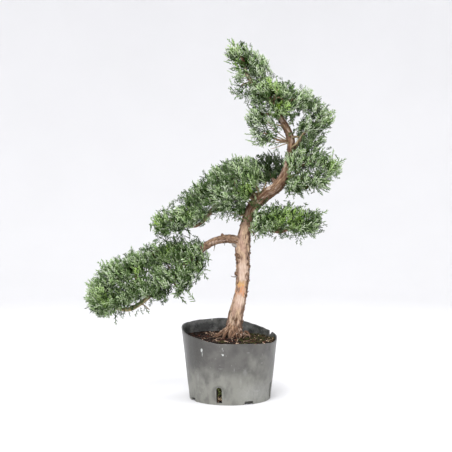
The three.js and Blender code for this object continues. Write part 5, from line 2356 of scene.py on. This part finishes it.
    dead_twigs: tuple[Route, ...] = (
        ((8, -4, 180.5, 2), (5, -4.6, 182, 2.2), (3.4, -4.8, 182.8, 2), (2.2, -4.8, 182.6, 0.9)),
        ((8, -2, 144.5, 0.9), (4, -2.6, 144.2, 0.7), (1, -3, 145.2, 0.4)),
        ((-18, -4, 183, 0.9), (-18.6, -4.6, 179, 0.6), (-19.4, -4.8, 175, 0.3)),
        ((-6, -3, 187, 0.7), (-6.5, -3.6, 184, 0.5), (-6.2, -3.8, 181.6, 0.3)),
    )
    root_count: int = 6
    root_from: float = 8.0
    root_reach: float = 24.0
    root_radius: float = 3.4
    root_height: float = 7.0
    root_uneven: float = 0.35
    root_bend: float = 0.7
    root_dive: float = 4.0
    seed: int = 11
    flutes: tuple[int, float, float] = (3, 0.07, 0.8)
    bare_patch: tuple[float, float] = (121.5, 138.5)
    # Heights over which a look of the bark comes in, from the first to the second.
    flaky_right: tuple[float, float] = (128.0, 136.0)
    flaky_left: tuple[float, float] = (150.0, 158.0)
    flaky_foot: tuple[float, float] = (106.0, 88.0)
    # Painted shade comes in over these heights under the trunk's upper bend.
    underside_shade: tuple[float, float] = (222.0, 236.0)
    torn_foot: tuple[float, float] = (104.0, 92.0)
    dark_foot: tuple[float, float] = (76.0, 71.0)
    young_top: tuple[float, float] = (192.0, 225.0)
    # How far left the green of the hanging branch comes in, the same way.
    green_tip: tuple[float, float] = (-84.0, -104.0)
    old_plate: float = 2.8
    young_plate: float = 1.5
    plate_stretch: float = 3.6
    ragged: float = 4.5
    flakes: int = 520
    flake_kinds: int = 5

    def build(self, tree: ScatterTree, finish: Material) -> None:
        """Makes the wood.

        Args:
            tree: The tree that repeats the flakes.
            finish: The bark.
        """
        draft = MeshDraft()
        stretches = [BarkStretch(self.trunk, Growth.TRUNK, 64, 1.0)]
        for route in self.branches:
            stretches.append(BarkStretch(route, Growth.BRANCH, 12 + 3 * round(route[0][3]), 1.3))
        for routes, growth, sides, spacing in (
            ((*self.roots(), *self.root_strands), Growth.ROOT, 20, 1.0),
            (self.knots, Growth.KNOT, 14, 0.6),
            (self.stems, Growth.TWIG, 8, 1.4),
            (self.dead_twigs, Growth.DEAD, 10, 1.0),
        ):
            stretches += [BarkStretch(route, growth, sides, spacing) for route in routes]
        for stretch in stretches:
            self.add_stretch(draft, stretch)
        body = draft.piece("wood_body", finish)
        make_smooth(body.data)
        flakes = ShapeSet("flake", [BarkFlake(seed=i).draft() for i in range(self.flake_kinds)])
        mesh = tree.grow(
            "living_wood", self.loose_flakes(stretches[0]).mesh("flakes"), Shapes=flakes.collection,
            Shape_size=1.0, Size_spread=0.3, Seed=9, Finish=finish, Inner_form=body,
        )
        flakes.clear()
        bpy.data.objects.remove(body)
        dress(place_in_scene("living_wood", mesh), "wood", "trunk_and_branches")

    def loose_flakes(self, trunk: BarkStretch) -> Carriers:
        """Lays out the loose flakes of bark, most of them on the trunk's two sides.

        Args:
            trunk: The trunk's tube.

        Returns:
            The places of the flakes.
        """
        draws = Draws(self.seed + 1)
        rings = trunk.frames()
        carriers = Carriers()
        low, high = self.bare_patch
        while len(carriers.shapes) < self.flakes:
            place, across, depth, radius, _ = rings[int(draws.next() ** 1.3 * (len(rings) - 2))]
            angle = draws.between(0, TURN)
            out = across * math.cos(angle) + depth * math.sin(angle)
            smooth = low - 12 < place.z < high + 24
            sides = 0.8 * ease(0.3, 0.9, out.x) + 0.4 * ease(0.4, 0.95, -out.x)
            if draws.next() > (0.06 if smooth else 0.2) + sides:
                continue
            ahead = depth.cross(across) * (1 if draws.next() > 0.5 else -1)
            size = draws.between(0.5, 1.25) * min(1.0, radius / 6)
            shape = draws.pick(self.flake_kinds)
            values = dict.fromkeys(BARK_VALUES, 0.0)
            values["young"] = ease(190, 225, place.z)
            values["flaky"] = draws.between(0.2, 1.0)
            values["scar"] = draws.between(0.0, 0.3)
            start = place + out * (radius - 0.1)
            carriers.add(start, ahead + out * 0.1, out.cross(ahead), size, shape, **values)
        return carriers

    def roots(self) -> list[Route]:
        """Lays out the surface roots, which dive into the soil.

        Returns:
            Their routes.
        """
        draws = Draws(self.seed)
        base_x, base_y = self.trunk[2][:2]
        routes = []
        for i in range(self.root_count):
            angle = (i + self.root_uneven * draws.next()) / self.root_count * TURN
            reach = self.root_reach * (1 - self.root_uneven * draws.next())
            bent = angle + self.root_bend * (draws.next() - 0.5)
            stops = (
                (self.root_from / 4, angle, self.root_height, 0.9),
                (self.root_from, angle, self.root_height / 4, 1.0),
                ((self.root_from + reach) / 2, bent, -self.root_dive / 8, 0.6),
                (reach, bent, -self.root_dive, 0.35),
            )
            route = []
            for away, heading, rise, share in stops:
                x, y = base_x + away * math.cos(heading), base_y + away * math.sin(heading)
                route.append((x, y, self.soil.height(x, y) + rise, self.root_radius * share))
            routes.append(route)
        return routes

    def add_stretch(self, draft: MeshDraft, stretch: BarkStretch) -> None:
        """Adds a tube of wood with its bark.

        Args:
            draft: The mesh in the making.
            stretch: The tube.
        """
        rings = stretch.frames()
        n = stretch.sides
        total = rings[-1][4]
        points: list[Point] = [tuple(rings[0][0])]
        rows: dict[str, list] = {"bark": [(0, 0, 0)], **{name: [0.0] for name in BARK_VALUES}}
        for centre, across, depth, radius, along in rings:
            for i in range(n):
                angle = i * TURN / n
                way = across * math.cos(angle) + depth * math.sin(angle)
                place = Vector((radius * math.cos(angle), radius * math.sin(angle), along))
                values = self.bark(stretch.growth, place, way, radius, centre, along / total)
                points.append(tuple(centre + way * values["reach"]))
                rows["bark"].append(tuple(place * MM))
                for name in BARK_VALUES:
                    rows[name].append(values[name])
        centre, across, depth, radius, _ = rings[-1]
        points.append(tuple(centre + depth.cross(across) * radius * 0.5))
        for row in rows.values():
            row.append(row[-1])
        draft.add(points, tube(len(rings), n), **rows)

    def looseness_and_shade(self, growth: Growth, place: Vector, way: Vector, centre: Vector) -> float:
        """Works out how loose the bark is at one point, and the painted shade under the trunk's upper bend.

        Args:
            growth: What kind of wood it is.
            place: The point on the straightened tube.
            way: Which way the surface faces.
            centre: The tube's middle there.

        Returns:
            How loose it is, painted shade included, from 0 to 1.
        """
        loose = 0.6
        if growth is Growth.TRUNK:
            right = ease(0.3, 0.7, way.x) * (0.65 + 0.35 * ease(*self.flaky_right, centre.z))
            left = ease(0.5, 0.9, -way.x) * (0.55 + 0.45 * ease(*self.flaky_left, centre.z))
            loose = max(right, left)
        broken = 0.5 + 0.9 * noise.noise(Vector((place.x / 4, place.y / 4, place.z / 9 + 3)))
        loose = min(1.0, max(0.0, loose * (0.6 + broken)))
        if growth is Growth.TRUNK:
            # Painted shade: the underside of the trunk's upper bend gets dark loose bark.
            bend = 0.7 * ease(0.1, 0.7, -way.z) * ease(*self.underside_shade, centre.z)
            loose = max(loose, 0.8 * ease(*self.flaky_foot, centre.z), bend)
        return loose

    def bared(
        self, growth: Growth, place: Vector, way: Vector, centre: Vector, ragged: float
    ) -> tuple[float, float]:
        """Works out where the bark has come off.

        Args:
            growth: What kind of wood it is.
            place: The point on the straightened tube.
            way: Which way the surface faces.
            centre: The tube's middle there.
            ragged: How far up the patches' uneven edges are shifted there.

        Returns:
            How bare the wood is, and how much it is a pale scar, both from 0 to 1.
        """
        bare = scar = 0.0
        level = centre.z + ragged
        if growth is Growth.TRUNK:
            low, high = self.bare_patch
            bare = ease(0.3, 0.75, -way.y) * ease(low - 1.2, low + 1.2, level)
            bare *= ease(high + 1.2, high - 1.2, level)
            bare *= ease(0.62, 0.42, way.x + 0.1 * ragged / self.ragged)
            smooth = max(
                ease(high - 1, high + 3, level) * ease(high + 30, high + 18, level),
                ease(low + 1, low - 2, level) * ease(low - 16, low - 8, level),
            )
            scar = 0.85 * smooth * ease(0.1, 0.6, -way.y) * ease(0.75, 0.5, abs(way.x - 0.05))
        if growth in (Growth.TRUNK, Growth.ROOT):
            torn = noise.noise(Vector((place.x / 1.9, place.y / 1.9, place.z / 6 + 20)))
            scar = max(scar, 0.65 * ease(0.15, 0.45, torn) * ease(*self.torn_foot, centre.z))
        return bare, scar

    def bark(
        self, growth: Growth, place: Vector, way: Vector, radius: float, centre: Vector, share: float
    ) -> dict[str, float]:
        """Works out the bark at one point.

        Args:
            growth: What kind of wood it is.
            place: The point on the straightened tube.
            way: Which way the surface faces.
            radius: The tube's radius there.
            centre: The tube's middle there.
            share: How far along the tube it is.

        Returns:
            How far out the surface is, and the values of its colour.
        """
        count, depth, turns = self.flutes
        angle = math.atan2(place.y, place.x)
        flute = 1 + depth * math.sin(count * angle + turns * TURN * share)
        old = growth in (Growth.TRUNK, Growth.ROOT)
        size = self.old_plate if old else self.young_plate
        cell = Vector((place.x / size, place.y / size, place.z / (size * self.plate_stretch)))
        distances, spots = noise.voronoi(cell + Vector((centre.x * 0.001, 0, 0)))
        lifted = 0.5 + 0.5 * noise.noise(spots[0] * 5.3)
        edge = ease(0.02, 0.22, distances[1] - distances[0])
        ragged = self.ragged * noise.noise(Vector((place.x / 2.2, place.y / 2.2, place.z / 5)))
        bare, scar = self.bared(growth, place, way, centre, ragged)
        calm = max(bare, scar)
        flaky = self.looseness_and_shade(growth, place, way, centre) * (1 - 0.85 * calm)
        plate = edge * (0.2 + 0.8 * lifted)
        relief = (0.3 + 1.0 * flaky) * (1 - 0.7 * calm) * (0.95 if old else 0.15 * radius)
        fine = noise.noise(Vector((place.x * 0.9, place.y * 0.9, place.z * 0.3)))
        reach = radius * flute + relief * (plate - 0.4) + 0.03 * radius * fine - 0.5 * bare
        if growth is Growth.TWIG:
            reach *= 0.85
        if growth is Growth.ROOT:
            reach = radius * (0.95 + 0.3 * noise.noise(place / 4) + 0.35 * (plate - 0.5))
        young = {
            Growth.TRUNK: ease(*self.young_top, centre.z),
            Growth.ROOT: 0.12,
            Growth.KNOT: 0.5,
            Growth.DEAD: 0.6,
            Growth.TWIG: 0.9,
        }
        green = {Growth.BRANCH: 0.8 * ease(*self.green_tip, centre.x), Growth.TWIG: 0.4}
        dark = 0.25 * lifted
        if old:
            dark = 0.9 * flaky * ease(0.3, 0.6, lifted)
        elif growth is Growth.KNOT:
            dark = 0.7
        crack = (1 - edge) * (0.25 + 0.7 * flaky) * (1 - 0.6 * calm)
        high = self.bare_patch[1]
        yellow = ease(high - 7, high - 3, centre.z + ragged)
        return {
            "reach": reach,
            "young": young.get(growth, 0.85),
            "green": green.get(growth, 0.0),
            "root": 1.0 if growth is Growth.ROOT else 0.0,
            "flaky": dark,
            "crack": max(crack, 0.8 * ease(*self.dark_foot, centre.z)),
            "bare": bare,
            "yellow": yellow if growth is Growth.TRUNK else 0.0,
            "scar": scar,
            "grey": 0.85 if growth is Growth.DEAD else 0.0,
        }


@dataclass
class Studio:
    """The pale bowl that the bonsai stands in, the soft lights and the camera."""

    wall_radius: float = 2.3
    floor_radius: float = 1.3
    wall_height: float = 2.2
    bend_steps: int = 12
    sides: int = 96
    pale: Colour = shade(219, 219, 221)
    # Each light: its name, its place in millimetres, its side in metres and its power in watts.
    lamps: tuple[tuple[str, Point, float, float], ...] = (
        ("key", (-450, -1300, 1550), 1.0, 36),
        ("fill", (1300, -900, 900), 1.6, 6),
        ("top", (0, 100, 1900), 1.4, 26),
    )
    aim: Point = (0, 0, 0.22)
    air: float = 0.75
    camera_place: Point = tuple(EYE)
    lens: float = 66.4
    sensor: float = 36.0

    def build(self) -> None:
        """Makes the bowl, the lights and the camera."""
        self.bowl()
        self.world()
        for lamp in self.lamps:
            self.lamp(*lamp)
        self.camera()
        bpy.context.scene.view_settings.view_transform = "Standard"

    def bowl(self) -> None:
        """Makes the floor, which curves up to a wall all round."""
        graph = ShaderGraph("pale_paper", 0.9, 0.2)
        cloudy = graph.rise(graph.noise(graph.place(), 400, 3), 0.2, 0.8)
        softer = tuple(0.97 * v for v in self.pale[:3]) + (1.0,)
        finish = graph.finish(graph.mix(cloudy, self.pale, softer))
        bend = self.wall_radius - self.floor_radius
        profile = [(0.0, 0.0), (0.4, 0.0), (self.floor_radius, 0.0)]
        for i in range(1, self.bend_steps + 1):
            angle = i / self.bend_steps * math.pi / 2
            profile.append((self.floor_radius + bend * math.sin(angle), bend * (1 - math.cos(angle))))
        profile.append((self.wall_radius, self.wall_height))
        points: list[Point] = [(0.0, 0.0, 0.0)]
        for radius, z in profile[1:]:
            for i in range(self.sides):
                points.append(at_bearing(i * TURN / self.sides, radius / MM, z / MM))
        # The bowl is open at the top, and its faces point inwards.
        faces = [face[::-1] for face in tube(len(profile) - 1, self.sides)[:-self.sides]]
        draft = MeshDraft()
        draft.add(points, faces)
        bowl = draft.piece("studio_bowl", finish)
        make_smooth(bowl.data)

    def world(self) -> None:
        """Lights the scene softly from all round."""
        world = bpy.data.worlds.new("studio_air")
        world.use_nodes = True
        background = world.node_tree.nodes["Background"]
        background.inputs["Color"].default_value = (1.0, 1.0, 1.0, 1.0)
        background.inputs["Strength"].default_value = self.air
        bpy.context.scene.world = world

    def lamp(self, name: str, place: Point, size: float, power: float) -> None:
        """Adds a square soft light that faces the bonsai.

        Args:
            name: The light's name.
            place: Where it is, in millimetres.
            size: Its side, in metres.
            power: Its power, in watts.
        """
        light = bpy.data.lights.new(name, "AREA")
        light.shape = "SQUARE"
        light.size = size
        light.energy = power
        lamp = bpy.data.objects.new(name, light)
        lamp.location = Vector(place) * MM
        facing = Vector(self.aim) - lamp.location
        lamp.rotation_euler = facing.to_track_quat("-Z", "Y").to_euler()
        bpy.context.scene.collection.objects.link(lamp)

    def camera(self) -> None:
        """Adds the camera at the photograph's place, level and facing the back."""
        data = bpy.data.cameras.new("camera")
        data.lens = self.lens
        data.sensor_width = self.sensor
        data.clip_end = 20
        camera = bpy.data.objects.new("camera", data)
        camera.location = Vector(self.camera_place) * MM
        camera.rotation_euler = Euler((math.pi / 2, 0, 0))
        bpy.context.scene.collection.objects.link(camera)
        bpy.context.scene.camera = camera


def main() -> None:
    """Builds the bonsai's pieces and its studio, and logs how many triangles each piece has."""
    logging.basicConfig(level=logging.INFO, format="%(name)s: %(message)s")
    tree = ScatterTree()
    earth = EarthFinish().material()
    Pot().build(PlasticFinish().material())
    Soil().build(tree, earth, MossFinish().material())
    Wood().build(tree, BarkFinish().material())
    LeafyPads().build(tree, LeafFinish().material(), ShadeFinish().material())
    Studio().build()


if __name__ == "__main__":
    main()
